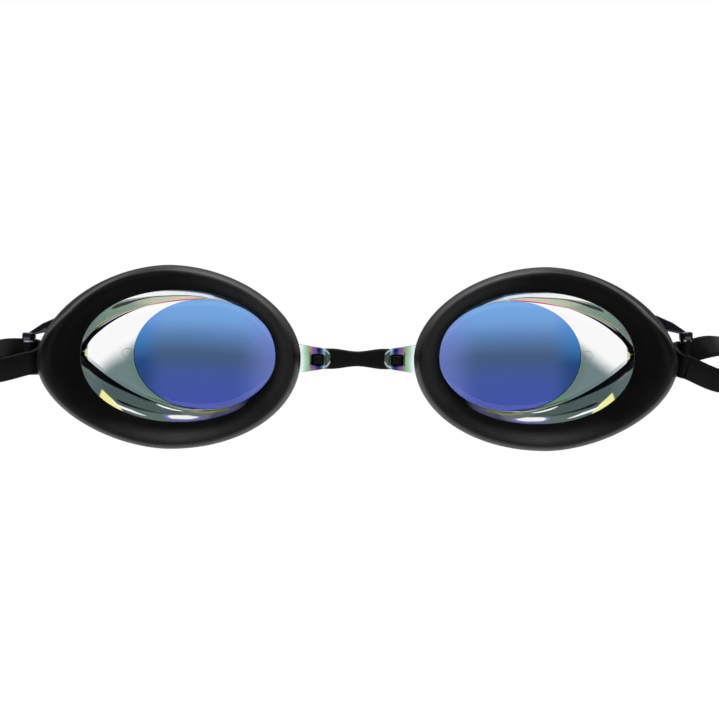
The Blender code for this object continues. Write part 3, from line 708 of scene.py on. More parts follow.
bracketLook = {
    "black": (0.0042, 0.0042, 0.0048),
    "navy": (0.0065, 0.006, 0.014),
    "violet": (0.013, 0.010, 0.028),
    "clouds": {"scale": 240.0, "detail": 3.0},
    "cloudEdge": (0.45, 0.7),
    "breaks": {"scale": 900.0, "detail": 1.0},
    "glint": (0.80, 0.80, 0.84),
    "glintWidth": 0.3,
    "glintGaps": (0.44, 0.52),
    "lift": {"left": -0.65 * mm, "right": 0.4 * mm},
    "postEdge": (74.2 * mm, 74.6 * mm),
    "neckEdge": (4.1, 3.8),     # heights in mm, before the lift
    "capFoot": 4.05,
    "roughness": (0.12, 0.08),  # least, and what the clouds add
    "coat": 0.6,
    "coatRoughness": 0.05,
}


def bracketFinish():
    material, shader, place = newFinish("dark_mirror_bracket")
    x, z = place.axes()[::2]
    clouds = place.noise(**bracketLook["clouds"])
    breaks = place.noise(**bracketLook["breaks"])
    left = bracketLook["lift"]["left"]
    lift = x.rise(-mm, mm) * (bracketLook["lift"]["right"] - left) + left
    height = (z - lift) / mm
    onPost = x.size().rise(*bracketLook["postEdge"])
    base = clouds.rise(*bracketLook["cloudEdge"]).blend(bracketLook["navy"], bracketLook["violet"])
    base = (onPost * height.rise(*bracketLook["neckEdge"])).blend(base, bracketLook["black"])
    glint = onPost * height.hump(bracketLook["capFoot"], bracketLook["glintWidth"])
    base = (glint * breaks.rise(*bracketLook["glintGaps"])).blend(base, bracketLook["glint"])
    least, added = bracketLook["roughness"]
    feed(shader, Base_Color=base, Roughness=least + clouds * added)
    feed(shader, Coat_Weight=bracketLook["coat"], Coat_Roughness=bracketLook["coatRoughness"])
    return material


filmLook = {            # colours by height, in mm, over the film and at its temple edge
    "middle": [
        (-11.0, (70, 84, 174)), (-7.0, (68, 88, 167)), (-4.0, (67, 90, 160)), (-1.0, (68, 93, 138)),
        (1.0, (72, 95, 134)), (3.0, (80, 112, 156)), (5.5, (95, 133, 186)), (9.0, (118, 165, 225)),
        (12.5, (121, 173, 233)),
    ],
    "temple": [
        (-10.0, (48, 74, 142)), (-5.0, (45, 72, 128)), (-1.0, (36, 74, 132)), (3.0, (62, 120, 180)),
        (9.0, (92, 152, 226)),
    ],
    "templeEdge": (2.0, 8.0),
    "noseSink": [(0.0, 0.0), (8.0, 0.6), (15.0, 2.2)],  # the colours sink by this much to the nose
    "nose": (120, 132, 212),
    "noseEdge": (-14.0, -24.0),
    "noseShare": 0.6,
    "ripple": {"scale": 60.0, "detail": 2.0},
    "rippleAside": 2.0,
    "rippleUp": 1.2,
    "rippleDull": 0.02,
    "clarity": 1.0,
    "ior": 1.12,
}


def filmFinish():
    material, shader, place = newFinish("blue_film")
    x, z = place.axes()[::2]
    ripple = place.noise(**filmLook["ripple"])
    outward = (x.size() - cup["centre"]) / mm + (ripple - 0.5) * filmLook["rippleAside"]
    height = z / mm + (ripple - 0.5) * filmLook["rippleUp"]
    sink = (-film["shift"] / mm - outward).along(filmLook["noseSink"])
    base = (height + sink).colours(filmLook["middle"])
    base = outward.rise(*filmLook["templeEdge"]).blend(base, height.colours(filmLook["temple"]))
    toNose = outward.rise(*filmLook["noseEdge"]) * filmLook["noseShare"]
    base = toNose.blend(base, srgb(*filmLook["nose"]))
    feed(shader, Base_Color=base, Roughness=ripple * filmLook["rippleDull"])
    feed(shader, Transmission_Weight=filmLook["clarity"], IOR=filmLook["ior"])
    return material


clipLook = {
    "dark": (0.010, 0.010, 0.011),
    "pale": (0.020, 0.020, 0.021),
    "cloud": {"scale": 120.0, "detail": 3.0},
    "cloudEdge": (0.35, 0.7),
    "roughness": (0.38, 0.12),  # least, and what the cloud adds
    "spark": {"scale": 2600.0, "detail": 3.0},
    "bump": 0.25,
    "bumpDepth": 0.1 * mm,
}


def clipFinish():
    material, shader, place = newFinish("moulded_clip")
    spark = place.noise(**clipLook["spark"])
    cloud = place.noise(**clipLook["cloud"])
    base = cloud.rise(*clipLook["cloudEdge"]).blend(clipLook["dark"], clipLook["pale"])
    bump = spark.bump(clipLook["bump"], clipLook["bumpDepth"])
    least, added = clipLook["roughness"]
    feed(shader, Base_Color=base, Roughness=least + cloud * added, Normal=bump)
    return material


paintedHighlightLines = [           # painted highlights: lighter lines on a gasket, by the way round and the share of the way out
    {   # upper temple crest: painted highlight
        "middle": [(0, 0.97), (12, 0.93), (24, 0.80), (34, 0.72), (50, 0.76), (70, 0.86), (90, 0.93),
                   (180, 0.93)],
        "weight": [(0, 0.0), (10, 0.0), (22, 0.7), (36, 1.0), (55, 0.8), (75, 0.3), (100, 0.1), (150, 0.0)],
        "width": 0.11,
        "grey": 0.13,
    },
    {   # lower band: painted highlight where the slope faces up, partly dust
        "middle": [(-180, 0.5), (180, 0.5)],
        "weight": [(-140, 0.0), (-115, 0.5), (-92, 1.0), (-70, 0.5), (-50, 0.0)],
        "width": 0.34,
        "grey": 0.06,
    },
    {   # upper nose crest: painted highlight
        "middle": [(80, 0.86), (105, 0.80), (130, 0.78), (180, 0.78)],
        "weight": [(80, 0.0), (95, 0.6), (112, 1.0), (142, 0.9), (162, 0.35), (178, 0.0)],
        "width": 0.2,
        "grey": 0.11,
    },
    {   # slope at the nose: painted sheen
        "middle": [(-180, 0.4), (180, 0.4)],
        "weight": [(-180, 1.0), (-150, 0.8), (-115, 0.0), (95, 0.0), (135, 1.0), (180, 1.0)],
        "width": 0.45,
        "grey": 0.035,
    },
]
gasketSkin = siliconeFinish("gasket_silicone", dusty=1.0, roughness=0.42, paintedHighlights=paintedHighlightLines)
bridgeSkin = siliconeFinish("bridge_silicone", dusty=0.5, roughness=0.52)
strapSkin = siliconeFinish("strap_silicone", dusty=0.4, roughness=0.42)
lensSkin = lensFinish()
wallSkin = wallFinish()
tabSkin = tabFinish()
tabTipSkin = tabTipFinish()
bracketSkin = bracketFinish()
filmSkin = filmFinish()
clipSkin = clipFinish()
print("finishes ready")


# face gasket: one section swept round the opening, deeper at the temple
gasket = {
    "ridge": 8.0 * mm,
    "lip": 3.9 * mm,
    "innerLip": 2.0 * mm,
    "seatGap": 0.3 * mm,
    "templeSweep": 0.35,
    "noseSweep": 0.15,
    "ridgeProfile": ((0.22, 0.33), (0.46, 0.80), (0.64, 1.00), (0.81, 0.93), (0.94, 0.64), (1.00, 0.28)),
    "lipProfile": ((0.98, 0.40), (0.91, 0.90), (0.84, 1.00)),
    "frontMark": 2.0,   # bandShare past the outermost ring, where no painted highlight falls
    "steps": 5,
}


def gasketMesh(name, side):
    seat = lens["flangeRear"] - gasket["seatGap"]
    knots = [(0.0, seat - gasket["innerLip"])]
    knots += [(share, -gasket["ridge"] * depth) for share, depth in gasket["ridgeProfile"]]
    knots += [(share, gasket["lip"] * depth) for share, depth in gasket["lipProfile"]]
    rings = []
    bands = []

    def addRing(outline, depth, band=gasket["frontMark"]):
        bands.append(band)
        ring = []
        for x, z in map(outline, angles):
            along = 2 * x / cup["gasketLength"]
            sweep = gasket["templeSweep"] if along > 0 else gasket["noseSweep"]
            y = depth * (1 + sweep * along ** 2) if depth < 0 else depth
            ring.append(Vector((side * (cup["centre"] + x), y, z)))
        rings.append(ring)

    outermost = len(gasket["ridgeProfile"]) * gasket["steps"]
    for index, (share, depth) in enumerate(spline(knots, gasket["steps"])):
        band = share if index <= outermost else gasket["frontMark"]
        addRing(lambda angle: acrossGasket(angle, share), depth, band)
    for depth in (gasket["lip"], seat):
        addRing(lambda angle: acrossGasket(angle, lens["flangeShare"], gasket["seatGap"]), depth)
    addRing(openingOutline, seat)
    mesh = finishMesh(loft(rings, closed=True), name)
    markRings(mesh, "bandShare", bands)
    return mesh


for label, side in sides.items():
    piece = addPiece(gasketMesh(f"{label}_gasket_skin", side), gasketSkin)
    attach(piece, f"{label}_cup")
    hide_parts(f"{label}_gasket")
print("gaskets made")


# lens cup: front face, rim, outer wall, flange, inner wall and inner face in one closed shell
wallMark = {            # wallShare, which runs from 0 to 1 up the inner wall and to 2 round its bend
    "flangeRear": -1.0,
    "bend": 1.0,
    "innerFace": 2.0,
    "outside": 3.0,     # and to 4 over the outer face
    "outerBend": 4.0,
}


def lensMesh(name, side):
    centre = (-lens["shift"], lens["raise"])
    rings = []
    shares = []
    walls = []

    def addRing(point, share, wall=False):
        rings.append([Vector((side * (cup["centre"] + x), y, z)) for x, y, z in map(point, angles)])
        shares.append(share)
        walls.append(wall)

    def onFace(angle, share, grow=0.0, lift=0.0):
        x, z = toward(centre, faceOutline(angle, grow), share)
        return x, faceDepth(x) + lift, z

    def onFront(angle, share):
        return onFace(angle, share, lens["wall"], lens["thickness"])

    def onOpening(angle, grow, depth):
        x, z = openingOutline(angle, grow)
        return x, depth, z

    def onFlange(angle, depth):
        x, z = acrossGasket(angle, lens["flangeShare"])
        return x, depth, z

    def outerWall(angle, share):
        root = onOpening(angle, lens["lipCover"] + lens["wall"], lens["flangeFront"])
        return toward(root, onFront(angle, 1.0), share)

    def innerWall(angle, share):
        return toward(onOpening(angle, lens["lipCover"], lens["flangeRear"]), onFace(angle, 1.0), share)

    def bend(first, corner, second, t):
        return toward(toward(first, corner, t), toward(corner, second, t), t)

    def outerBend(angle, t):
        return bend(onFront(angle, lens["faceShare"]), onFront(angle, 1.0), outerWall(angle, rim), t)

    def innerBend(angle, t):
        corner = onFace(angle, 1.0)
        return bend(innerWall(angle, lens["wallReach"]), corner, onFace(angle, lens["faceShare"]), t)

    faceSteps = [step / lens["faceRings"] for step in range(1, lens["faceRings"] + 1)]
    wallSteps = [step / lens["wallRings"] for step in range(lens["wallRings"] + 1)]
    bendSteps = [step / lens["bendRings"] for step in range(1, lens["bendRings"])]
    rim = 1 - lens["edge"] / (lens["depth"] - lens["flangeFront"])
    for step in faceSteps:
        share = step * lens["faceShare"]
        addRing(lambda angle: onFront(angle, share), wallMark["outside"] + share)
    for t in bendSteps:
        addRing(lambda angle: outerBend(angle, t), wallMark["outerBend"])
    for t in reversed(wallSteps):
        addRing(lambda angle: outerWall(angle, t * rim), wallMark["outside"], wall=True)
    addRing(lambda angle: onFlange(angle, lens["flangeFront"]), wallMark["outside"], wall=True)
    addRing(lambda angle: onFlange(angle, lens["flangeRear"]), wallMark["flangeRear"], wall=True)
    for t in wallSteps:
        addRing(lambda angle: innerWall(angle, t * lens["wallReach"]), t, wall=True)
    for t in bendSteps:
        addRing(lambda angle: innerBend(angle, t), wallMark["bend"] + t, wall=True)
    for step in reversed(faceSteps):
        addRing(lambda angle: onFace(angle, step * lens["faceShare"]), wallMark["innerFace"])
    mesh = finishMesh(loft(rings), name)
    markRings(mesh, "wallShare", shares, (wallMark["outside"], wallMark["innerFace"]))
    mesh.materials.append(lensSkin)
    mesh.materials.append(wallSkin)
    onWall = [wall for wall in walls for angle in angles] + [False, False]
    for polygon in mesh.polygons:
        polygon.material_index = int(any(onWall[index] for index in polygon.vertices))
    return mesh


for label, side in sides.items():
    piece = addPiece(lensMesh(f"{label}_lens_cup", side))
    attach(piece, f"{label}_cup")
    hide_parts(f"{label}_lens")
print("lens cups made")


# plates with rounded edges: nose tabs and temple brackets
plate = {"rear": 4.2 * mm, "front": 6.2 * mm, "round": 0.3 * mm, "roundSteps": 3, "arcSteps": 9}
plateMiddle = (plate["rear"] + plate["front"]) / 2
tab = {
    "tip": 6.2 * mm,
    "root": 18.0 * mm,
    "tipHeight": 4.3 * mm,
    "rootHeight": 8.2 * mm,
    "drop": 0.2 * mm,
    "corner": 1.9 * mm,
    "tipEnd": 10.9 * mm,
    "windowCentre": 9.2 * mm,
    "windowLength": 2.8 * mm,
    "windowHeight": 2.5 * mm,
    "windowDrop": 0.5 * mm,
    "windowCorner": 0.3 * mm,
}
bracket = {
    "postX": 76.2 * mm,
    "postTop": 6.1 * mm,
    "postBottom": -4.4 * mm,
    "postRadius": 1.6 * mm,
    "postSides": 48,
    "postRound": 0.45 * mm,
    "roundSteps": 4,
    "run": 7.0 * mm,
    "kneeTop": 9.9 * mm,
    "bulgeRun": 3.2 * mm,
    "bulge": 0.4 * mm,
    "capHeight": 2.0 * mm,
    "neckRadius": 1.4 * mm,
    "neckOverlap": 0.4 * mm,
    "kneeBottom": -4.3 * mm,
    "kneeBack": 4.2 * mm,
    "rootTurn": 42.0,
    "rootCover": 0.6,   # share of the cup's wall that the root runs into
    "rootSteps": 24,
    "slotLength": 2.9 * mm,
    "slotTop": 0.6 * mm,
    "slotBottom": 0.9 * mm,
    "corner": 0.5 * mm,
}


def rounded(corners, radius, ends=None):  # ends: the neighbours of an open run of corners
    first, last = ends or (corners[-1], corners[0])
    points = []
    for index, corner in enumerate(map(Vector, corners)):
        before = (Vector([first, *corners][index]) - corner).normalized()
        after = (Vector([*corners, last][index + 1]) - corner).normalized()
        half = before.angle(after) / 2
        middle = corner + (before + after).normalized() * (radius / math.sin(half))
        start = (corner + before * (radius / math.tan(half)) - middle).normalized()
        end = (corner + after * (radius / math.tan(half)) - middle).normalized()
        for step in range(plate["arcSteps"]):
            points.append(middle + start.slerp(end, step / (plate["arcSteps"] - 1)) * radius)
    return points


def weldedWork(holder):  # the holder's evaluated mesh in place, with its doubles merged
    bpy.context.view_layer.update()
    mesh = bpy.data.meshes.new_from_object(holder.evaluated_get(bpy.context.evaluated_depsgraph_get()))
    mesh.transform(holder.matrix_world)
    bpy.data.objects.remove(holder)
    work = bmesh.new()
    work.from_mesh(mesh)
    bpy.data.meshes.remove(mesh)
    bmesh.ops.remove_doubles(work, verts=work.verts, dist=weld)
    return work


def plateWork(outlines):
    curve = bpy.data.curves.new("plate", "CURVE")
    curve.dimensions = "2D"
    curve.fill_mode = "BOTH"
    curve.extrude = (plate["front"] - plate["rear"]) / 2 - plate["round"]
    curve.bevel_depth = plate["round"]
    curve.bevel_resolution = plate["roundSteps"]
    curve.offset = -plate["round"]
    for outline in outlines:
        path = curve.splines.new("POLY")
        path.points.add(len(outline) - 1)
        path.use_cyclic_u = True
        for point, (x, z) in zip(path.points, outline):
            point.co = (x, z, 0.0, 1.0)
    flat = bpy.data.objects.new("plate", curve)
    bpy.context.scene.collection.objects.link(flat)
    flat.rotation_euler = (math.radians(90), 0.0, 0.0)
    flat.location = (0.0, plateMiddle, 0.0)
    work = weldedWork(flat)
    bpy.data.curves.remove(curve)
    return work


def tabMesh(name, side):
    top = tab["tipHeight"] / 2
    rootTop = tab["rootHeight"] / 2
    outline = [(tab["tip"], top), (tab["root"], rootTop), (tab["root"], -rootTop), (tab["tip"], -top)]
    outline = [(side * x, z - tab["drop"]) for x, z in outline]
    halfX = tab["windowLength"] / 2
    halfZ = tab["windowHeight"] / 2
    window = [(-halfX, halfZ), (halfX, halfZ), (halfX, -halfZ), (-halfX, -halfZ)]
    window = [(side * (tab["windowCentre"] + x), z - tab["windowDrop"]) for x, z in window]
    work = plateWork([rounded(outline, tab["corner"]), rounded(window, tab["windowCorner"])])
    bmesh.ops.bisect_plane(work, geom=[*work.verts, *work.edges, *work.faces], dist=weld / 2,
                           plane_co=(side * tab["tipEnd"], 0.0, 0.0), plane_no=(1.0, 0.0, 0.0))
    mesh = finishMesh(work, name)
    mesh.materials.append(tabSkin)
    mesh.materials.append(tabTipSkin)
    for polygon in mesh.polygons:
        polygon.material_index = int(abs(polygon.center.x) < tab["tipEnd"])
    return mesh


def addPost(work, x, radius, low, high):  # upright, with both ends rounded over
    count = bracket["postSides"]
    turns = [2 * math.pi * step / count for step in range(count)]
    inset = bracket["postRound"] / math.cos(math.pi / count)
    end = []            # pairs of radius and way from the end
    for step in range(bracket["roundSteps"] + 1):
        bend = math.pi / 2 * step / bracket["roundSteps"]
        end.append((radius - inset * (1 - math.cos(bend)), bracket["postRound"] * (1 - math.sin(bend))))
    levels = [(out, low + up) for out, up in reversed(end)] + [(out, high - up) for out, up in end]
    rings = []
    for out, z in levels:
        points = [(x + out * math.cos(turn), plateMiddle + out * math.sin(turn), z) for turn in turns]
        rings.append([work.verts.new(point) for point in points])
    for first, second in zip(rings, rings[1:]):
        joinRings(work, first, second)
    work.faces.new(rings[0])
    work.faces.new(rings[-1])


def bracketMesh(name, side):
    post = bracket["postX"]
    lift = bracketLook["lift"]["left" if side < 0 else "right"]
    top = bracket["postTop"] + lift
    bottom = bracket["postBottom"] + max(0.0, lift)
    kneeBottom = bracket["kneeBottom"] + max(0.0, lift)
    slope = (bracket["kneeTop"] - bracket["postTop"]) / bracket["run"]
    outline = [
        (post - bracket["kneeBack"], kneeBottom),
        (post, bottom),
        (post, top),
        (post - bracket["bulgeRun"], top + slope * bracket["bulgeRun"] + bracket["bulge"]),
        (post - bracket["run"], bracket["kneeTop"] + lift),
    ]
    root = []
    for step in range(bracket["rootSteps"] + 1):
        turn = bracket["rootTurn"] * (1 - 2 * step / bracket["rootSteps"])
        x, z = openingOutline(math.radians(turn), lens["lipCover"] + lens["wall"] * bracket["rootCover"])
        root.append((side * (cup["centre"] + x), z))
    slotEnd = post - bracket["postRadius"] / 2
    slotStart = post - bracket["postRadius"] - bracket["slotLength"]
    slotTop = top - bracket["slotTop"]
    slotBottom = bottom + bracket["slotBottom"]
    slot = [
        (slotEnd, slotTop),
        (slotStart, slotTop + slope * bracket["slotLength"] / 2),
        (slotStart, slotBottom),
        (slotEnd, slotBottom),
    ]
    outline = [(side * x, z) for x, z in outline]
    rim = rounded(outline, bracket["corner"], (root[-1], root[0])) + root
    work = plateWork([rim, rounded([(side * x, z) for x, z in slot], bracket["corner"])])
    capFoot = top - bracket["capHeight"]
    addPost(work, side * post, bracket["neckRadius"], bottom, capFoot + bracket["neckOverlap"])
    addPost(work, side * post, bracket["postRadius"], capFoot, top)
    return finishMesh(work, name)


for label, side in sides.items():
    made = [
        addPiece(tabMesh(f"{label}_nose_tab", side)),
        addPiece(bracketMesh(f"{label}_temple_bracket", side), bracketSkin),
    ]
    for piece in made:
        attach(piece, f"{label}_cup")
        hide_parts(f"{label}_lens")
print("tabs and brackets made")


# oval film on each lens front
def filmMesh(name, side):
    centre = (-film["shift"], lens["raise"])
    near = lens["thickness"] + film["gap"]
    far = near + film["thickness"]
    edge = film["thickness"] * film["edgeTurn"]

    def ring(share, lift):
        points = []
        for angle in angles:
            x, z = superellipse(angle, film["length"] / 2, film["height"] / 2, 2.0)
            x, z = toward(centre, (x - film["shift"], z + lens["raise"]), share)
            points.append(Vector((side * (cup["centre"] + x), faceDepth(x) + lift, z)))
        return points

    steps = [step / film["rings"] for step in range(1, film["rings"])] + [film["edgeShare"]]
    rings = [ring(share, near) for share in steps]
    rings += [ring(1.0, near + edge), ring(1.0, far - edge)]
    rings += [ring(share, far) for share in reversed(steps)]
    return finishMesh(loft(rings), name, film["sharp"])


for label, side in sides.items():
    piece = addPiece(filmMesh(f"{label}_film_skin", side), filmSkin)
    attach(piece, f"{label}_cup")
    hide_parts(f"{label}_lens_film")
print("films made")


# nose bridge: a bowed strip in two halves
bridge = {
    "waist": 3.5 * mm,
    "endHeight": 4.8 * mm,
    "thickness": 2.0 * mm,
    "middle": 7.5 * mm,
    "bow": 1.2 * mm,
    "overlap": 1.9 * mm,
    "squareness": 4.0,
    "endTaper": 0.35,
    "plugGap": 0.3 * mm,
    "plugStand": 0.6 * mm,
    "plugRound": 0.25 * mm,
    "roundSteps": 3,
    "stations": 40,
    "points": 40,
}


def bridgeMesh(name, side):
    reach = tab["windowCentre"] + bridge["overlap"]
    rings = []
    for step in range(bridge["stations"] + 1):
        x = reach * math.sin(math.pi / 2 * step / bridge["stations"])
        share = smooth(min(1.0, x / tab["tip"]))
        height = bridge["waist"] + (bridge["endHeight"] - bridge["waist"]) * share
        end = max(0.0, x - tab["windowCentre"]) / bridge["overlap"]
        height *= 1 - bridge["endTaper"] * end ** 3
        y = bridge["middle"] + bridge["bow"] * (1 - share)
        ring = []
        for point in range(bridge["points"]):
            angle = 2 * math.pi * point / bridge["points"]
            across, up = superellipse(angle, bridge["thickness"] / 2, height / 2, bridge["squareness"])
            ring.append(Vector((side * x, y + across, up - tab["drop"])))
        rings.append(ring)
    work = loft(rings)
    plugRear = plate["rear"] - bridge["plugStand"]
    size = Vector((
        tab["windowLength"] - 2 * bridge["plugGap"],
        bridge["middle"] - plugRear,
        tab["windowHeight"] - 2 * bridge["plugGap"],
    ))
    centre = Vector((side * tab["windowCentre"], (bridge["middle"] + plugRear) / 2, -tab["windowDrop"]))
    made = bmesh.ops.create_cube(work, size=1.0)["verts"]
    for vertex in made:
        vertex.co = centre + vertex.co * size
    edges = list(dict.fromkeys(edge for vertex in made for edge in vertex.link_edges))
    bmesh.ops.bevel(work, geom=edges, offset=bridge["plugRound"], segments=bridge["roundSteps"],
                    profile=0.5, affect="EDGES")
    return finishMesh(work, name)


for label, side in sides.items():
    piece = addPiece(bridgeMesh(f"{label}_bridge_half", side), bridgeSkin)
    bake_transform(piece)
    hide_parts("nose_bridge")
print("nose bridge made")


# head strap: a flat band swept along its route by a node tree
strap = {
    "width": 5.4 * mm,
    "thickness": 1.4 * mm,
    "corner": 0.45 * mm,
    "cornerSteps": 4,
    "wrapRadius": 2.6 * mm,
    "shoulder": 7.5 * mm,
    "settle": 0.4,
    "sag": 0.7 * mm,
    "hangStart": 22.0 * mm,
    "hangPower": 3.0,
    "flat": 28.0 * mm,
    "endGap": 0.6 * mm,
    "step": 1.1 * mm,
    "wrapSteps": 40,
    "sweepSteps": 8,
    "sharp": 50,
    "near": {"reach": 22.5 * mm, "drop": 104.0 * mm, "turn": (8.0 * mm, 21.0 * mm)},
    "far": {"reach": 30.0 * mm, "drop": 113.0 * mm, "turn": (0.0, 17.0 * mm)},
    "bendEnd": (99.0 * mm, -70.0 * mm),
    "right": {"slot": 1.0 * mm, "near": -1.7 * mm, "nearOut": -4.8 * mm,
              "far": 1.75 * mm, "farOut": 3.3 * mm},        # heights at the post and at the shoulder
    "left": {"slot": 0.1 * mm, "near": -1.7 * mm, "nearOut": -3.6 * mm,
             "far": 1.4 * mm, "farOut": 1.4 * mm},
}
strapPlane = plateMiddle + strap["wrapRadius"]


def strapRun(rest, run, exitY):  # points from the post to the middle, each with its share of the quarter turn
    post = bracket["postX"]
    height = rest[run]
    heightOut = rest[run + "Out"]
    drop = strap[run]["drop"]
    out = post + strap[run]["reach"]
    shoulder = post + strap["shoulder"]
    knots = [
        Vector((post - strap["shoulder"], exitY, 2 * height - heightOut)),
        Vector((post, exitY, height)),
        Vector((shoulder, exitY, heightOut)),
        Vector((out - strap["settle"] * (out - shoulder), strapPlane, heightOut - strap["sag"])),
    ]
    for step in range(strap["sweepSteps"] + 1):
        angle = math.pi / 2 * step / strap["sweepSteps"]
        x, z = superellipse(angle, out - strap["flat"], drop - strap["hangStart"], strap["hangPower"])
        knots.append(Vector((strap["flat"] + x, strapPlane, -strap["hangStart"] - z)))
    knots.append(Vector((0.0, strapPlane, -drop)))
    points = []
    for a, b, c, d in zip(knots, knots[1:], knots[2:], knots[3:]):
        count = max(1, round((c - b).length / strap["step"]))
        points += [throughKnots(a, b, c, d, index / count) for index in range(count)]
    points.append(knots[-2].copy())
    turnStart, turnEnd = strap[run]["turn"]
    stations = []
    travelled = 0.0
    for before, point in zip([points[0], *points], points):
        travelled += (point - before).length
        share = (travelled - turnStart) / (turnEnd - turnStart)
        stations.append((point, smooth(min(1.0, max(0.0, share)))))
    return stations


def strapRoute(rest):
    near = strapRun(rest, "near", plateMiddle - strap["wrapRadius"])
    far = strapRun(rest, "far", plateMiddle + strap["wrapRadius"])
    wrap = []
    for step in range(strap["wrapSteps"] + 1):
        angle = math.pi * step / strap["wrapSteps"]
        lean = math.cos(angle)
        height = rest["near"] if lean > 0 else rest["far"]
        wrap.append((Vector((
            bracket["postX"] - strap["wrapRadius"] * math.sin(angle),
            plateMiddle - strap["wrapRadius"] * lean,
            rest["slot"] + (height - rest["slot"]) * abs(lean),
        )), 0.0))
    innerEnd = (Vector((strap["endGap"], strapPlane, -strap["near"]["drop"])), 1.0)
    middle = (Vector((0.0, strapPlane, -strap["far"]["drop"])), 1.0)
    return [innerEnd] + near[:0:-1] + wrap + far[1:] + [middle]


def bandTree():  # route with an across vector on each point, swept by a rounded rectangle
    tree = bpy.data.node_groups.new("flat_band", "GeometryNodeTree")
    sockets = {}
    kinds = {"Route": "Geometry", "Width": "Float", "Thickness": "Float", "Corner": "Float",
             "Finish": "Material"}
    for key, kind in kinds.items():
        socket = tree.interface.new_socket(key, in_out="INPUT", socket_type="NodeSocket" + kind)
        sockets[key] = socket.identifier
    tree.interface.new_socket("Band", in_out="OUTPUT", socket_type="NodeSocketGeometry")
    start = Wire(tree)
    source = tree.nodes.new("NodeGroupInput")
    given = {key: Wire(tree, source.outputs[key]) for key in kinds}
    across = start.node("GeometryNodeInputNamedAttribute", {"data_type": "FLOAT_VECTOR"}, {"Name": "across"})
    route = start.node("GeometryNodeMeshToCurve", {}, {"Mesh": given["Route"]})
    route = start.node("GeometryNodeSetCurveNormal", {"mode": "FREE"}, {"Curve": route, "Normal": across})
    sizes = {"Width": given["Width"], "Height": given["Thickness"]}
    section = start.node("GeometryNodeCurvePrimitiveQuadrilateral", {}, sizes)
    corners = {"Curve": section, "Count": strap["cornerSteps"], "Radius": given["Corner"]}
    section = start.node("GeometryNodeFilletCurve", {"mode": "POLY"}, corners)
    sweep = {"Curve": route, "Profile Curve": section, "Fill Caps": True}
    band = start.node("GeometryNodeCurveToMesh", {}, sweep)
    band = start.node("GeometryNodeRealizeInstances", {}, {"Geometry": band})
    band = start.node("GeometryNodeSetMaterial", {}, {"Geometry": band, "Material": given["Finish"]})
    result = tree.nodes.new("NodeGroupOutput")
    tree.links.new(band.socket, result.inputs["Band"])
    return tree, sockets


def bandMesh(name, route):
    points = [point for point, flat in route]
    line = bpy.data.meshes.new(name + "_route")
    line.from_pydata(points, [(index, index + 1) for index in range(len(points) - 1)], [])
    directions = []
    for index, (point, flat) in enumerate(route):
        tangent = points[min(len(points) - 1, index + 1)] - points[max(0, index - 1)]
        tangent.normalize()
        turn = flat * math.pi / 2
        across = Vector((0.0, math.sin(turn), math.cos(turn)))
        across -= tangent * across.dot(tangent)
        directions.extend(across.normalized())
    line.attributes.new("across", "FLOAT_VECTOR", "POINT").data.foreach_set("vector", directions)
    holder = bpy.data.objects.new(name + "_route", line)
    bpy.context.scene.collection.objects.link(holder)
    tree, sockets = bandTree()
    modifier = holder.modifiers.new("band", "NODES")
    modifier.node_group = tree
    modifier[sockets["Width"]] = strap["width"]
    modifier[sockets["Thickness"]] = strap["thickness"]
    modifier[sockets["Corner"]] = strap["corner"]
    modifier[sockets["Finish"]] = strapSkin
    work = weldedWork(holder)
    bpy.data.meshes.remove(line)
    return finishMesh(work, name, strap["sharp"])


for label, side in sides.items():
    route = [(Vector((side * point.x, point.y, point.z)), flat) for point, flat in strapRoute(strap[label])]
    piece = addPiece(bandMesh(f"{label}_strap_half", route), strapSkin)
    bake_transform(piece)
    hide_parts("head_strap")
print("strap made")

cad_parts["rear_clip"].data.materials.clear()
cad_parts["rear_clip"].data.materials.append(clipSkin)


# plain studio: white backdrop ahead, soft top light, a darker room on the wearer's side
studio = {
    "floorDrop": 0.8 * mm,
    "floorHalf": 3.0,
    "floorColour": (0.82, 0.82, 0.82),
    "floorRoughness": 0.8,
    "floorEdge": (0.15, 0.23),      # the floor turns white between these ways out
    "ambient": 0.40,
    "room": 0.05,
    "backdrop": 0.35,
    "aheadEdge": (0.35, 0.95),
    "aboveEdge": (0.45, 0.85),
    "dimmed": 0.7,      # share taken from what a reflection sees through a lens
    "lamps": {
        "top_softbox": {"place": (0.0, 0.06, 0.55), "size": (0.5, 0.3), "power": 2.2},
        "strip_light": {"place": (0.0, -0.40, 0.50), "size": (0.9, 0.12), "power": 0.8},
    },
}
white = (1.0, 1.0, 1.0, 1.0)


def buildWorld():
    world = bpy.data.worlds.new("studio")
    bpy.context.scene.world = world
    world.use_nodes = True
    tree = world.node_tree
    start = Wire(tree)
    light = tree.nodes.new("ShaderNodeLightPath")
    path = {output.name: Wire(tree, output) for output in light.outputs}
    mirrored = start.math("MINIMUM", path["Glossy Depth"], 1.0)
    scattered = start.math("MINIMUM", path["Diffuse Depth"], 1.0)
    through = path["Is Transmission Ray"]
    seen = start.math("MAXIMUM", path["Is Camera Ray"], through * (1 - mirrored) * (1 - scattered))
    glossy = start.math("MAXIMUM", path["Is Glossy Ray"], through * mirrored)
    y, z = start.node("ShaderNodeTexCoord", out="Generated").axes()[1:]
    backdrop = start.math("MAXIMUM", y.rise(*studio["aheadEdge"]), z.rise(*studio["aboveEdge"]))
    reflected = studio["room"] + backdrop * (studio["backdrop"] - studio["room"])
    reflected = reflected * (1 - through * mirrored * studio["dimmed"])
    level = glossy * reflected + (1 - glossy) * studio["ambient"]
    level = seen + (1 - seen) * level
    tree.links.new(level.socket, tree.nodes["Background"].inputs["Strength"])
    tree.nodes["Background"].inputs["Color"].default_value = white


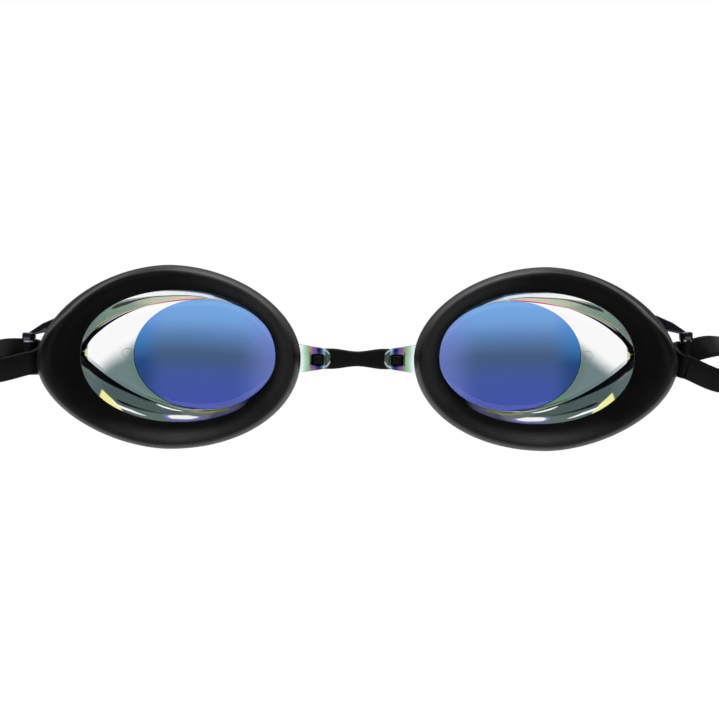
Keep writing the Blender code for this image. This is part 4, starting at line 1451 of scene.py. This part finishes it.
def buildFloor():
    work = bmesh.new()
    bmesh.ops.create_grid(work, x_segments=1, y_segments=1, size=studio["floorHalf"])
    mesh = finishMesh(work, "floor")
    mesh.transform(Matrix.Translation((0.0, 0.0, cadBox[0][2] - studio["floorDrop"])))
    material, shader, place = newFinish("pale_floor")
    x, y = place.axes()[:2]
    far = ((x * x + y * y) ** 0.5).rise(*studio["floorEdge"])
    feed(shader, Base_Color=opaque(studio["floorColour"]), Roughness=studio["floorRoughness"])
    shaded = Wire(material.node_tree, shader.outputs[0])
    plain = place.node("ShaderNodeEmission", {}, {"Color": white, "Strength": 1.0})
    mixed = place.node("ShaderNodeMixShader", {}, {0: far, 1: shaded, 2: plain})
    output = material.node_tree.nodes["Material Output"]
    material.node_tree.links.new(mixed.socket, output.inputs["Surface"])
    addPiece(mesh, material)


def addLamp(name, place, size, power):  # faces the origin
    lamp = bpy.data.lights.new(name, "AREA")
    lamp.shape = "RECTANGLE"
    lamp.size, lamp.size_y = size
    lamp.energy = power
    holder = bpy.data.objects.new(name, lamp)
    bpy.context.scene.collection.objects.link(holder)
    holder.location = place
    holder.rotation_euler = (-Vector(place)).to_track_quat("-Z", "Y").to_euler()


buildWorld()
buildFloor()
for name, lamp in studio["lamps"].items():
    addLamp(name, **lamp)
print("studio ready")


# camera on the wearer's side, as the photo has it
view = {
    "distance": 0.6,
    "middle": (0.5 * mm, -0.35 * mm),
    "halfHeight": 82.7 * mm,
    "roll": 0.35,
    "sensor": 36.0,
    "nearest": 0.01,
}
eye = bpy.data.cameras.new("photo_camera")
eye.sensor_width = view["sensor"]
eye.lens = eye.sensor_width * view["distance"] / (2 * view["halfHeight"])
eye.clip_start = view["nearest"]
camera = bpy.data.objects.new("photo_camera", eye)
bpy.context.scene.collection.objects.link(camera)
camera.location = (view["middle"][0], -view["distance"], view["middle"][1])
camera.rotation_euler = (math.radians(90), 0.0, 0.0)
camera.rotation_euler.rotate_axis("Z", math.radians(view["roll"]))
bpy.context.scene.camera = camera
bpy.context.scene.view_settings.view_transform = "Standard"
